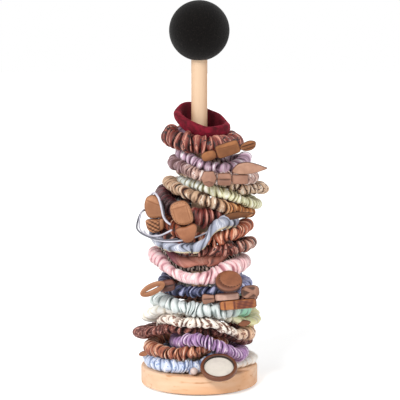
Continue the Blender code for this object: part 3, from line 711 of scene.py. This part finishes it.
def gathered_ring(node, look, material, seed):
    """Cloth round a ring: uneven pleats, whose creases wander."""
    draw = np.random.default_rng(seed)
    ring = ring_of(node)
    pleats, places = pleats_of(draw.uniform(*PLEAT_WIDTHS, look.pleats))
    line = along(ring.line, places)
    ahead, out = directions(line)
    moved = draw.uniform(*PUFF_MOVES, (2, look.pleats))
    tube = turns(TUBE_SIDES)
    radius, sunk = puffed(node, look, draw, pleats, tube)
    for middle, width, more, rise in FULLER_STRETCHES.get(node, ()):
        near = near_angle(places, middle, width)
        radius = radius * (1 + more * near)[:, None]
        line[:, 2] += rise * MM * near

    swings = swung(draw, look.pleats, tube, CREASE_SWINGS)
    slow = 2 * np.sin(pleats.starts * TURN * SLOW_WAVES + seed)
    swings = swings + SLOW_SWING * np.sin(tube + slow[:, None])
    shift = blended(swings, pleats) * lengths_along(line)[-1] / look.pleats
    sideways = radius * np.cos(tube) + moved[0][pleats.number, None] * pleats.dome
    upwards = radius * np.sin(tube) + moved[1][pleats.number, None] * pleats.dome
    points = surface(line, out, ring.width * sideways, ring.height * upwards)
    points = points + ahead[:, None, :] * shift[:, :, None]
    girth = pi * (ring.width + ring.height)
    return grid_piece(node + "_cloth", points, lengths_along(line, CLOTH_GATHERED), girth, material, sunk)


def waves(around, kinds, phases):
    """The sum of some waves round a ring."""
    return sum(size * np.sin(count * around + phase) for (count, size), phase in zip(kinds, phases))


def flat_band(node, material):
    """A stretchy band with rounded edges."""
    draw = np.random.default_rng(BAND_SEED)
    ring = ring_of(node)
    places = np.arange(CORD_STEPS // 2) / (CORD_STEPS // 2)
    line = along(ring.line, places)
    out = directions(line)[1]
    phases = draw.uniform(0, TURN, 4)
    lean = waves(places * TURN, BAND_LEANS, phases[:2])
    size = 1 + waves(places * TURN, BAND_SWELLS, phases[2:])
    for middle, width, taller, sinks in BAND_STRETCHES:
        near = near_angle(places, middle, width)
        size = size + taller * near
        line[:, 2] -= ring.height * sinks * near
    thick, flare = (
        more * near_angle(places, middle, width) for middle, width, more in (BAND_THICKER, BAND_FLARE)
    )
    tube = turns(TUBE_SIDES)
    sideways_power, upward_power = BAND_SQUARE
    upward = squared(np.sin(tube), upward_power)
    sideways = (BAND_THICK + thick)[:, None] * squared(np.cos(tube), sideways_power)
    sideways = sideways + (lean + flare)[:, None] * upward
    points = surface(line, out, ring.width * sideways, ring.height * size[:, None] * upward)
    girth = 4 * (ring.width + ring.height)
    return grid_piece(node + "_cloth", points, lengths_along(line), girth, material)


def crossing_strand(name, points, thickness, material):
    """A round strand through given places."""
    path = np.array(points) * MM
    ends = np.vstack([2 * path[0] - path[1], path, 2 * path[-1] - path[-2]])
    count = len(path) - 1
    at = np.linspace(0, count, count * STRAND_STEPS + 1)
    whole = np.minimum(np.floor(at).astype(int), count - 1)
    line = between(*(ends[whole + shift] for shift in range(4)), at - whole)
    ahead = unit(np.gradient(line, axis=0))
    side = unit(np.cross(ahead, (0.0, 1.0, 0.0)))
    other = np.cross(ahead, side)
    tube = turns(CORD_SIDES)[None, :, None]
    round_it = side[:, None, :] * np.cos(tube) + other[:, None, :] * np.sin(tube)
    points = line[:, None, :] + round_it * thickness * MM / 2
    return mesh_piece(name, points, rod_faces(0, len(line), CORD_SIDES), material)


def twisted_cords(node, materials):
    """Two cords that twist, and part at the ring's left."""
    ring = ring_of(node)
    places = np.arange(CORD_STEPS) / CORD_STEPS
    line = along(ring.line, places)
    out = directions(line)[1]
    tube = turns(CORD_SIDES)[None, :]
    middle, width, rise = CORDS_RISE
    line[:, 2] += rise * near_angle(places, middle, width)
    made = []
    for (end, turned, share, swing), material in zip(CORDS, materials):
        twist = CORD_TWISTS * np.radians(places * 360.0 - CORDS_LEVEL_AT) + turned
        off = ring.width * CORD_OFFSET
        centre = line + out * (off * np.cos(twist) + swing * near_angle(places, *CORDS_SWING))[:, None]
        centre[:, 2] += off * np.sin(twist)
        thick = ring.width * share
        points = surface(centre, out, thick * np.cos(tube), thick * np.sin(tube))
        made.append(grid_piece(node + end, points, lengths_along(line), TURN * thick, material))
    return made


def body_of(node):
    """The body that a CAD node moves with."""
    bodies = frame["record"]["behaviour"]["bodies"]
    return next(body for body, nodes in bodies.items() if node in nodes)


def stands_for(piece, node):
    """The piece takes the node's place and body."""
    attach(piece, body_of(node))
    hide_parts(node)


def goes_with(piece, node):
    """The piece rides with the node."""
    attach(piece, body_of(node))


Seat = namedtuple("Seat", "turn middle size")


def seat_of(node):
    """How a charm's solid is turned, its middle and its size."""
    charm = next(name for name in FACINGS if node.startswith(name))
    tilt, lean, turn = (radians(angle) for angle in FACINGS[charm])
    facing = np.array(
        Matrix.Rotation(turn, 3, "Z") @ Matrix.Rotation(-lean, 3, "X") @ Matrix.Rotation(-tilt, 3, "Y")
    )
    points = node_points(node) @ facing
    low, high = points.min(axis=0), points.max(axis=0)
    return Seat(facing, facing @ ((low + high) / 2), high - low)


def seated(points, seat):
    """Points of a charm, in the solid's place."""
    return np.array(points) @ seat.turn.T + seat.middle


# a leather piece from its middle to its edge: how far out, how thick, and how dark, that darkness being
# painted shade at the edge
MIDDLE = (0.04, 1.0, 0.0)
SMOOTH = ((0.3, 1.0, 0.0), (0.6, 0.97, 0.0), (0.8, 0.88, 0.0), (0.92, 0.7, 0.1), (0.98, 0.42, 0.5),
          (1.0, 0.12, 0.9))
FLAT = ((0.4, 1.0, 0.0), (0.75, 0.98, 0.0), (0.9, 0.93, 0.05), (0.97, 0.8, 0.5), (1.0, 0.5, 0.9),
        (1.0, 0.0, 1.0))
RELIEF_STEPS = 4        # rings of points for each of a profile's, where there is relief
RELIEF_POWER = 6        # how late the relief fades towards the edge


def finer(profile, steps):
    """A profile with more rings between its own."""
    made = [profile[0]]
    for before, after in zip(profile, profile[1:]):
        for step in range(1, steps + 1):
            made.append(tuple(a + (b - a) * step / steps for a, b in zip(before, after)))
    return made


def evened(outline, wide, tall):
    """An outline with its points spread evenly."""
    closed = np.array([*outline, outline[0]])
    steps = np.linalg.norm(np.diff(closed, axis=0) * (wide, tall), axis=1)
    lengths = np.concatenate([[0.0], np.cumsum(steps)])
    places = np.arange(OUTLINE_STEPS) / OUTLINE_STEPS * lengths[-1]
    return list(zip(np.interp(places, lengths, closed[:, 0]), np.interp(places, lengths, closed[:, 1])))


def leather_piece(node, outline, profile, material, relief=None):
    """A leather piece in its solid's box: an outline in shares of the box, padded by the profile.

    The relief gives, for a place on the front, how far it is raised, in mm, and how dark it is.
    """
    seat = seat_of(node)
    wide, thick, tall = seat.size
    if relief:
        profile = finer((MIDDLE, *profile), RELIEF_STEPS)
    sides = [(share, -swell, dark) for share, swell, dark in profile]
    sides += [(share, swell, dark) for share, swell, dark in reversed(profile)]
    outline = evened(outline, wide, tall)
    count = len(outline)
    points = []
    painted_shades = []
    for share, swell, dark in sides:
        fading = 1 - share ** RELIEF_POWER
        for x, z in outline:
            raised, shade = relief(x * share, z * share) if relief and swell < 0 else (0.0, 0.0)
            points.append((x * share * wide, swell * thick / 2 - raised * MM * fading, z * share * tall))
            painted_shades.append(max(dark, shade * fading))
    points = [(0.0, -thick / 2, 0.0), *points, (0.0, thick / 2, 0.0)]
    painted_shades = [painted_shades[0], *painted_shades, painted_shades[-count]]
    last = len(points) - 1
    start = last - count
    faces = [(0, 1 + (j + 1) % count, 1 + j) for j in range(count)] + wall_faces(1, len(sides), count)
    faces += [(start + j, start + (j + 1) % count, last) for j in range(count)]
    return mesh_piece(node + "_leather", seated(points, seat), faces, material, painted_shades)


def rounded(power, count=48):
    """An outline from an ellipse (2) to a rectangle (more)."""
    bend = 2 / power
    return [(squared(cos(a), bend) / 2, squared(sin(a), bend) / 2) for a in turns(count)]


def straight(corners):
    """An outline through points in hundredths."""
    return np.array(corners) / 100


def drawn(corners, steps=5):
    """A smooth outline through points in hundredths."""
    places = np.arange(len(corners) * steps) / (len(corners) * steps)
    return along(straight(corners), places)


def stitches(node, outline, share, material, every=2.6 * MM, part=(0.0, 1.0)):
    """Short stitches along a smaller outline on the front."""
    seat = seat_of(node)
    wide, thick, tall = seat.size
    path = np.array(outline) * (share * wide, share * tall)
    closed = np.vstack([path, path[:1]])
    lengths = lengths_along(path)
    level = -STITCH_DEEP[node] * thick / 2
    points = []
    faces = []
    for at in np.arange(lengths[-1] * part[0], lengths[-1] * part[1], every):
        here, there = (
            np.array([np.interp(place, lengths, closed[:, k]) for k in (0, 1)])
            for place in (at, at + STITCH_AIMED)
        )
        ahead = (there - here) / np.linalg.norm(there - here)
        side = np.array([-ahead[1], ahead[0]])
        faces += rod_faces(len(points), 3, STITCH_SIDES)
        for end, fat in ((-STITCH_HALF, STITCH_THIN), (0.0, STITCH_FAT), (STITCH_HALF, STITCH_THIN)):
            for a in turns(STITCH_SIDES):
                x, z = here + ahead * end + side * fat * cos(a)
                points.append((x, level + fat * sin(a), z))
    goes_with(mesh_piece(node + "_stitches", seated(points, seat), faces, material), node)


def turned_piece(name, profile, material, sides, turn=np.identity(3), middle=(0, 0, 0)):
    """A round piece turned about its own Z axis: (radius, height, darkness) down its side, in metres.

    Where the profile starts off the axis it is closed to a ring.
    """
    points = []
    values = []
    rings = []
    for radius, height, dark in profile:
        count = sides if radius else 1
        rings.append([len(points) + k % count for k in range(sides)])
        for a in turns(sides)[:count]:
            points.append((radius * cos(a), radius * sin(a), height))
            values.append(dark)
    pairs = list(zip(rings, rings[1:]))
    if profile[0][0]:
        pairs.append((rings[-1], rings[0]))
    faces = []
    for first, second in pairs:
        for k in range(sides):
            m = (k + 1) % sides
            corners = (first[m], first[k], second[k], second[m])
            faces.append(tuple(dict.fromkeys(corners)))
    piece = mesh_piece(name, np.array(points) @ turn.T + np.array(middle), faces, material, values)
    piece.data.set_sharp_from_angle(angle=SHARP_FROM)
    return piece


def arc(middle, radius, start, end, steps):
    """A round stretch of a profile, with angles in degrees."""
    angles = [radians(start + (end - start) * i / steps) for i in range(steps + 1)]
    return [(middle[0] + radius * cos(a), middle[1] + radius * sin(a), 0.0) for a in angles]


def upper_edge(side, top, edge, steps, start=90):
    """A profile's rounded edge, at its top."""
    return arc((side - edge, top - edge), edge, start, 0, steps)


def lower_edge(side, low, edge, steps):
    """A profile's rounded edge, at its foot."""
    return arc((side - edge, low + edge), edge, 0, -90, steps)


# places in hundredths of a solid's box, from its middle
OUTLINES = {
    "leaf": drawn([(-50, 0), (-30, -36), (0, -50), (30, -34), (50, 0), (30, 34), (0, 50), (-30, 36)], 6),
    "lens": drawn([(-50, -10), (-30, -38), (5, -50), (36, -34), (50, 10), (38, 36), (10, 50), (-25, 42),
        (-48, 20)], 6),
    "bent_leaf": drawn([(-50, -30), (-30, -50), (0, -46), (25, -30), (50, -2), (42, 10), (20, 34), (-6, 50),
        (-30, 40), (-44, 10)], 6),
    "left_pad": drawn([(-46, 24), (-34, 42), (-10, 50), (14, 47), (33, 34), (43, 8), (48, -20), (50, -42),
        (30, -46), (0, -50), (-28, -46), (-42, -32), (-50, -8), (-50, 10)]),
    "right_pad": drawn([(-50, 20), (-42, 40), (-20, 50), (14, 50), (36, 40), (48, 15), (50, -20), (42, -42),
        (20, -50), (-15, -46), (-40, -30), (-50, -5)]),
    "shield": drawn([(-50, 40), (-30, 50), (0, 45), (35, 50), (50, 34), (46, 8), (30, -26), (12, -46),
        (-10, -50), (-28, -36), (-42, 4)]),
    "drum": drawn([(-50, 30), (-44, 46), (-15, 50), (20, 46), (46, 50), (50, 20), (46, -20), (26, -40),
        (0, -50), (-24, -46), (-42, -20)]),
    "bow_loop": drawn([(48, 30), (20, 36), (-20, 46), (-42, 44), (-50, 20), (-50, -20), (-42, -44),
        (-20, -46), (20, -36), (48, -30), (50, 0)]),
    "six_sided": straight([(-50, 8), (-30, 50), (30, 50), (50, 5), (28, -38), (2, -50), (-30, -34)]),
    "disc": rounded(2.0, 64),
    "egg": rounded(2.8),
    "cushion": rounded(3.0),
    "knot": rounded(4.0),
    "block": rounded(6.0),
    "bar": rounded(7.0),
}
THIN = ("leaf", "bent_leaf")        # outlines of flat pieces


def line_at(away, width):
    """1 on a line, falling smoothly to 0 at about twice this width from it."""
    return exp(-((away / width) ** 2))


def edge_at(away, sharpness):
    """Smoothly from 0 before an edge to 1 after it."""
    return 1 / (1 + exp(-away * sharpness))


def laced(x, z):
    """Slanting laces with painted shade in the gaps between them, and a smooth drum on the right with painted
    shade in the groove before it.
    """
    if x > 0.24:
        return -0.5 * line_at(x - 0.26, 0.03), 0.9 * line_at(x - 0.27, 0.05)
    rows = sin((x * 0.8 + z) * 21.0)
    gaps = sin((x - z * 0.8) * 26.0)
    return 0.7 * rows + 0.35 * gaps, min(1.0, 1.3 * max(0.0, -rows - 0.1) + max(0.0, -gaps - 0.5))


def center_fold(x, z):
    """A fold along the middle, with painted shade in the fold and on the lower half."""
    fold = line_at(z, 0.09)
    return -0.9 * fold, max(0.8 * fold, 0.4 if z < 0 else 0.0)


def two_folds(x, z):
    """Two folds, with painted shade in them and from the upper one down."""
    fold = line_at(z - 0.12, 0.07) + line_at(z + 0.24, 0.06)
    return -0.7 * fold, max(0.9 * min(1.0, fold), 0.35 if z < 0.12 else 0.0)


def pressed_panel(x, z):
    """A darker panel, pressed in, inside a paler border, with a dark line round the panel and painted shade
    along the lower edge.
    """
    outside = max(abs(x + 0.02), abs(z + 0.06)) / 0.34 - 1
    panel = edge_at(-outside, 16.0)
    low = 0.55 * edge_at(-(z + 0.37), 60.0)
    return -0.35 * panel, max(low, 0.3 * panel + 0.4 * line_at(outside, 0.08))


def capped(x, z):
    """A cap folded over the front, with painted shade on the front below it, along the fold and along the
    lower edge.
    """
    over = z - 0.2 + 0.35 * x
    front = 0.4 * edge_at(-over, 30.0)
    low = 0.65 * edge_at(-(z + 0.38), 60.0)
    return 0.6 * edge_at(over, 30.0), max(0.55 * line_at(over, 0.05), front, low)


def shaded_low(x, z):
    """Darker towards its lower end."""
    return 0.0, max(0.0, min(0.6, 0.16 - z * 0.9))


def upper_fold(x, z):
    """An upper face folded over the front, with painted shade in the fold and on the front below it."""
    over = z - 0.2 + 0.1 * x
    fold = line_at(over, 0.05)
    return -0.4 * fold, max(0.45 * fold, 0.38 * edge_at(-over, 40.0))


def bands(x, z):
    """Two dark lines across, and mottled dark to the right."""
    lines = line_at(x + 0.36, 0.025) + line_at(x + 0.1, 0.03)
    end = edge_at(x + 0.06, 40.0)
    mottle = 0.22 * sin(29.0 * x + 7.0 * z) * sin(12.0 * z - 9.0 * x + 1.0) * end
    return -0.3 * lines, min(1.0, max(0.8 * lines, 0.6 * end + mottle))


def twisted(x, z):
    """Two pale ribbons that cross, with painted shade in the hollows beside them, and a darker plain right
    side.
    """
    falling = abs(z - 0.1 + 0.75 * x)
    rising = abs(z + 0.16 - 0.85 * x)
    right_side = edge_at(x - 0.3, 40.0)
    hollow = (1 - right_side) * edge_at(min(falling, rising) - 0.15, 45.0)
    return -1.0 * hollow, max(0.95 * hollow, 0.4 * right_side)


def facets(x, z):
    """Pressed facets, with painted shade: pale at the upper left, and darker along the facet line, below it
    and to the right.
    """
    slope = z + 0.3 * abs(x) + 0.12
    line = line_at(slope, 0.05)
    return -0.3 * line, max(0.65 * line, 0.4 * edge_at(-slope, 60.0) + 0.2 * edge_at(x - 0.1, 60.0))


def framed(x, z):
    """Darker along its left and upper edges."""
    near = max(line_at(x + 0.5, 0.1), line_at(z - 0.5, 0.14))
    return 0.0, max(0.9 * near, 0.16 + 0.2 * x)


def crescent(x, z):
    """A disc that is sewn on, with a dark seam and painted shade on a rim at its lower left."""
    across, up = x - SEAM_MIDDLE[0], z - SEAM_MIDDLE[1]
    away = hypot(across, up) - SEAM_RADIUS
    holes = 0.6 + 0.4 * sin(30.0 * atan2(up, across))
    seam = line_at(away, 0.03) * holes
    lower_left = max(0.0, min(1.0, 0.3 - 2.0 * (across + up)))
    return -0.7 * seam * lower_left, lower_left * max(0.6 * edge_at(away, 60.0), 0.5 * seam)


# a hide's colour and its dark tone, which draws both its mottle and its painted shade, and where they differ
# from the usual its grain and roughness
HIDES = {
    "tan_hide": ("AA6E4A", "764226"),
    "gold_hide": ("C08862", "84502E"),
    "pale_hide": ("AC7E68", "724A38"),
    "blush_hide": ("DAB2A0", "7A4E40"),
    "suede_hide": ("A66C42", "64391E", 2400.0, 0.85),
    "dull_suede": ("7A4C2C", "442612", 2400.0, 0.9),
    "rosy_hide": ("B68A72", "80543E"),
    "brown_hide": ("985E3E", "5C2E1A"),
    "rust_hide": ("BE7A42", "6A2E16"),
    "dark_hide": ("7C4A3A", "3C1C16"),
}
LEATHER = (
    ("left_charm_block", "left_pad", "gold_hide", capped),
    ("left_charm_skirt", "drum", "gold_hide", laced),
    ("right_charm_block", "right_pad", "gold_hide", pressed_panel),
    ("right_charm_skirt", "shield", "tan_hide", shaded_low),
    ("suede_bow_knot", "bar", "suede_hide", upper_fold),
    ("suede_bow_left_loop", "egg", "suede_hide", shaded_low),
    ("suede_bow_right_loop", "lens", "suede_hide", two_folds),
    ("leather_bow_knot", "block", "pale_hide", center_fold),
    ("leather_bow_left_loop", "six_sided", "pale_hide", facets),
    ("leather_bow_right_loop", "bar", "pale_hide", framed),
    ("leather_bow_tail", "bent_leaf", "rosy_hide", None),
    ("brown_bow_knot", "block", "blush_hide", framed),
    ("brown_bow_left_loop", "bow_loop", "pale_hide", center_fold),
    ("brown_bow_right_loop", "bar", "rust_hide", bands),
    ("brown_bow_back_loop", "cushion", "pale_hide", twisted),
    ("dark_brown_knot", "knot", "dark_hide", center_fold),
    ("rust_tab", "leaf", "tan_hide", None),
    ("olive_tab", "leaf", "brown_hide", None),
    ("suede_tab", "bent_leaf", "dull_suede", shaded_low),
    ("round_leather_charm", "disc", "brown_hide", crescent),
)


def make_camera():
    """The photograph's camera."""
    lens = bpy.data.cameras.new("camera")
    lens.lens = CAMERA_LENS
    lens.sensor_width = SENSOR
    lens.clip_end = CAMERA_REACH
    camera = linked("camera", lens)
    camera.location = CAMERA_PLACE
    camera.rotation_euler = (radians(90.0 - CAMERA_DOWN), 0.0, 0.0)
    bpy.context.scene.camera = camera


def make_light(name, kind, place, target, power, **settings):
    """A lamp, aimed at a target."""
    light = bpy.data.lights.new(name, kind)
    light.energy = power
    for setting, value in settings.items():
        setattr(light, setting, value)
    lamp = linked(name, light)
    lamp.location = place
    way = Vector(target) - lamp.location
    lamp.rotation_euler = way.to_track_quat("-Z", "Y").to_euler()


def seen_by_camera(tree):
    """1 for the rays that make the picture, 0 for those that light it."""
    path = add("LightPath", {}, tree)
    seen = calc("ADD", path.outputs["Is Camera Ray"], path.outputs["Is Glossy Ray"])
    return calc("ADD", seen, path.outputs["Is Transmission Ray"], use_clamp=True)


def make_sky():
    """Even light from all round, seen as plain white."""
    world = bpy.data.worlds.new("studio")
    world.use_nodes = True
    tree = world.node_tree
    back = tree.nodes["Background"]
    back.inputs["Color"].default_value = WHITE
    tree.links.new(spread(seen_by_camera(tree), SKY_STRENGTH, 1.0), back.inputs["Strength"])
    bpy.context.scene.world = world


def make_floor():
    """A plain white floor that keeps the holder's shadow."""
    made, tree = new_material("floor_white", {
        "Roughness": 0.9, "Specular IOR Level": 0.0, "Base Color": FLOOR_WHITE,
    })
    share = calc("MULTIPLY", seen_by_camera(tree), FLOOR_GLOW)
    glow = add("Emission", {"Color": WHITE, "Strength": share})
    both = add("AddShader", {0: tree.nodes["Principled BSDF"].outputs[0], 1: glow.outputs[0]})
    tree.links.new(both.outputs[0], tree.nodes["Material Output"].inputs["Surface"])
    half = FLOOR_SIZE / 2
    corners = [(-half, -half, 0.0), (half, -half, 0.0), (half, half, 0.0), (-half, half, 0.0)]
    floor = mesh_piece("floor", corners, [(0, 1, 2, 3)], made)


def make_base(wood):
    """The round base, with a well for the post."""
    low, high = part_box("base")
    rim, top, foot = high[0], high[2], low[2]
    well = SOCKET
    profile = [(well, top - SOCKET_DEEP, 0.0), (well, top - SOCKET_EDGE, 0.0), (well + SOCKET_EDGE, top, 0.0)]
    profile += [(rim * 0.5, top, 0.0), (rim * 0.8, top, 0.0)]
    profile += upper_edge(rim, top, BASE_EDGE, steps=6) + [(rim, top * 0.5, 0.0)]
    profile += lower_edge(rim, foot, BASE_EDGE, steps=6)
    profile += [(rim * 0.5, foot, 0.0), (well, foot, 0.0)]
    stands_for(turned_piece("base_turned", profile, wood, sides=128), "base")


def make_post(wood):
    """The dowel, with soft ends."""
    low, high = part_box("post")
    side, top, foot = high[0], high[2], low[2]
    profile = [(0.0, top, 0.0)] + upper_edge(side, top, POST_EDGE, steps=3)
    profile += [(side, foot + (top - foot) * share, 0.0) for share in (0.8, 0.6, 0.4, 0.2)]
    profile += lower_edge(side, foot, POST_EDGE, steps=3) + [(0.0, foot, 0.0)]
    stands_for(turned_piece("post_dowel", profile, wood, sides=64), "post")


def make_felt():
    """The ball's cover, open below for the post."""
    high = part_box("ball_cover")[1]
    radius = high[0]
    middle = high[2] - radius
    inner = radius - FELT_THICK
    mouth, inner_mouth = (degrees(asin(SOCKET / reach)) for reach in (radius, inner))
    profile = arc((0.0, middle), radius, 90, mouth - 90, 40)
    profile += arc((0.0, middle), inner, inner_mouth - 90, 90, 24)
    profile[0] = (0.0, middle + radius, 0.0)
    profile[-1] = (0.0, middle + inner, 0.0)
    felt = felt_material("ball_black_felt")
    stands_for(turned_piece("ball_felt", profile, felt, sides=96), "ball_cover")


def make_stand():
    """The stand and the ball."""
    along_plank = wood_material("base_wood", (5.0, 34.0, 60.0), "EAC6A6", "DCA578", "C08454")
    up_post = wood_material("post_wood", (55.0, 55.0, 4.0), "DCBC9C", "D0A07A", "B67A52")
    make_base(along_plank)
    make_post(up_post)
    make_felt()
    for node, material in (
        ("foot_pad", plain_material("pad_rubber", "B9B4AC", 0.9)),
        ("base_screw", plain_material("screw_zinc", "B8BCC0", 0.35, metallic=1.0)),
        ("ball_stud", plain_material("stud_zinc", "B8BCC0", 0.35, metallic=1.0)),
        ("ball_core", up_post),
    ):
        slots = frame["nodes"][node].data.materials
        slots.clear()
        slots.append(material)


def make_rings():
    """All the cloth rings."""
    for seed, (node, look) in enumerate(LOOKS.items(), start=1):
        piece = gathered_ring(node, look, cloth_material(node, look), seed)
        stands_for(piece, node)


def make_band():
    """The velvet band."""
    loop = ring_of("maroon_band")
    side = loop.width + loop.height
    band = flat_band("maroon_band", velvet_material("maroon_velvet", "86122A", 2 * side, side))
    stands_for(band, "maroon_band")


def make_elastic():
    """The elastic's cords, and its crossing strands."""
    cords = {
        "dark": plain_material("cord_grey", "64646E", 0.45, mottle=0.3),
        "pale": plain_material("cord_silver", "D4D2DE", 0.4, mottle=0.2),
    }
    for strand in twisted_cords("cord_tie", (cords["dark"], cords["pale"])):
        stands_for(strand, "cord_tie")
    for number, (tone, thickness, points) in enumerate(CROSSING_STRANDS, start=1):
        strand = crossing_strand("cord_tie_strand_%d" % number, points, thickness, cords[tone])
        goes_with(strand, "cord_tie")


def make_leather():
    """The charms, tabs and bows of leather."""
    hides = {name: leather_material(name, *values) for name, values in HIDES.items()}
    for node, outline, hide, relief in LEATHER:
        profile = FLAT if outline in THIN else SMOOTH
        stands_for(leather_piece(node, OUTLINES[outline], profile, hides[hide], relief), node)
    thread = plain_material("thread_tan", "8E5E3C", 0.8)
    stitches("left_charm_block", OUTLINES["left_pad"], PAD_SEAM, thread)
    stitches("right_charm_block", OUTLINES["right_pad"], PAD_SEAM, thread)
    seam = [
        (SEAM_MIDDLE[0] + SEAM_RADIUS * cos(a), SEAM_MIDDLE[1] + SEAM_RADIUS * sin(a))
        for a in np.radians(np.linspace(*SEAM_ANGLES, SEAM_POINTS))
    ]
    dark_thread = plain_material("dark_thread", "2A140A", 0.7)
    stitches("round_leather_charm", seam, 1.0, dark_thread, every=2.7 * MM, part=(0.02, 0.58))
    make_strap("tan_leather_loop", hides["gold_hide"])


def make_strap(node, material):
    """A leather strip bent to a long loop."""
    seat = seat_of(node)
    wide, deep, tall = seat.size
    half = STRAP_THICK / 2
    section = [(squared(cos(b), 0.5) * half, squared(sin(b), 0.5) * deep / 2) for b in turns(STRAP_SIDES)]
    points = [
        ((wide / 2 - half + out) * cos(a), back, (tall / 2 - half + out) * sin(a))
        for a in turns(STRAP_STEPS) for out, back in section
    ]
    placed = seated(points, seat).reshape(STRAP_STEPS, STRAP_SIDES, 3)
    # darker on the strap's front and back faces
    darker_faces = [0.4 if abs(sin(b)) > 0.9 else 0.0 for b in turns(STRAP_SIDES)]
    lengths = np.arange(STRAP_STEPS + 1) / STRAP_STEPS * 2 * (wide + tall)
    girth = 2 * (deep + STRAP_THICK)
    stands_for(grid_piece(node + "_strap", placed, lengths, girth, material, darker_faces * STRAP_STEPS), node)


# the disc charm's cream face, down its side: shares of its radius and of half its thickness, and how dark
FACE_PROFILE = (
    (0.0, 1.0, 0.0), (0.5, 0.99, 0.0), (0.74, 0.95, 0.0), (0.77, 0.82, 0.8), (0.80, 0.93, 0.0),
    (0.93, 0.86, 0.0), (1.0, 0.6, 0.2), (1.0, -0.6, 0.0), (0.9, -1.0, 0.0), (0.0, -1.0, 0.0),
)


def make_disc_charm():
    """The disc charm's rim and face, and the small bead."""
    wood = leather_material("rim_wood", "703C1C", "361806", grain=900.0, roughness=0.45)
    cream = plain_material("cream_face", "DED6CA", 0.35)
    stone = plain_material("bead_stone", "DCC6BE", 0.35, mottle=0.3)
    about_y = np.array(Matrix.Rotation(pi / 2, 3, "X"))

    rim, face, bead = (seat_of(node) for node in ("disc_charm_rim", "disc_charm_face", "charm_bead"))
    side, half = rim.size[0] / 2, rim.size[1] / 2
    window = side - RIM_WIDE
    # painted shade on the rim's inner wall, round the face, and at its back edge
    profile = [(window, half * 0.2, 0.9), (window, half * 0.7, 0.8), (window + 0.3 * MM, half * 0.88, 0.5)]
    profile += [(window + 1.0 * MM, half, 0.0)] + upper_edge(side, half, RIM_EDGE, steps=5, start=80)
    profile += lower_edge(side, -half, RIM_EDGE, steps=5) + [(window, -half, 0.6)]
    turn = rim.turn @ about_y
    piece = turned_piece("disc_charm_rim_wood", profile, wood, sides=96, turn=turn, middle=rim.middle)
    stands_for(piece, "disc_charm_rim")

    side, half = face.size[0] / 2, face.size[1] / 2
    profile = [(side * out, half * up, dark) for out, up, dark in FACE_PROFILE]
    piece = turned_piece("disc_charm_face_cream", profile, cream, sides=96, turn=turn, middle=face.middle)
    stands_for(piece, "disc_charm_face")

    radius = bead.size[2] / 2
    profile = arc((0.0, 0.0), radius, 90, -90, 16)
    profile[0] = (0.0, radius, 0.0)
    profile[-1] = (0.0, -radius, 0.0)
    piece = turned_piece("charm_bead_round", profile, stone, sides=24, middle=bead.middle)
    stands_for(piece, "charm_bead")


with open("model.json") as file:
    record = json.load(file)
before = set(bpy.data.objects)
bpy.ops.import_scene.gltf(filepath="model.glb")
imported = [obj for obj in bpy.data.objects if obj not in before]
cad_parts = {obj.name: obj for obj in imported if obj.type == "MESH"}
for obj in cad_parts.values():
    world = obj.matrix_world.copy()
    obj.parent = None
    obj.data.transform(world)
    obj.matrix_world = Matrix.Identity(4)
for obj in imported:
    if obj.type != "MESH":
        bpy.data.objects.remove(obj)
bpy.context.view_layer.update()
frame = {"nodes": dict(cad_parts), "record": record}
bpy.context.scene.view_settings.view_transform = "Standard"

make_camera()
make_sky()
make_light("key", "SUN", SUN_FROM, (0.0, 0.0, 0.0), SUN_STRENGTH, angle=radians(SUN_SOFTNESS))
for lamp_name, lamp_place, lamp_size, lamp_power in LAMPS:
    make_light(lamp_name, "AREA", lamp_place, AIMED_AT, lamp_power, size=lamp_size)
make_floor()
make_stand()
make_rings()
make_band()
make_elastic()
make_leather()
make_disc_charm()
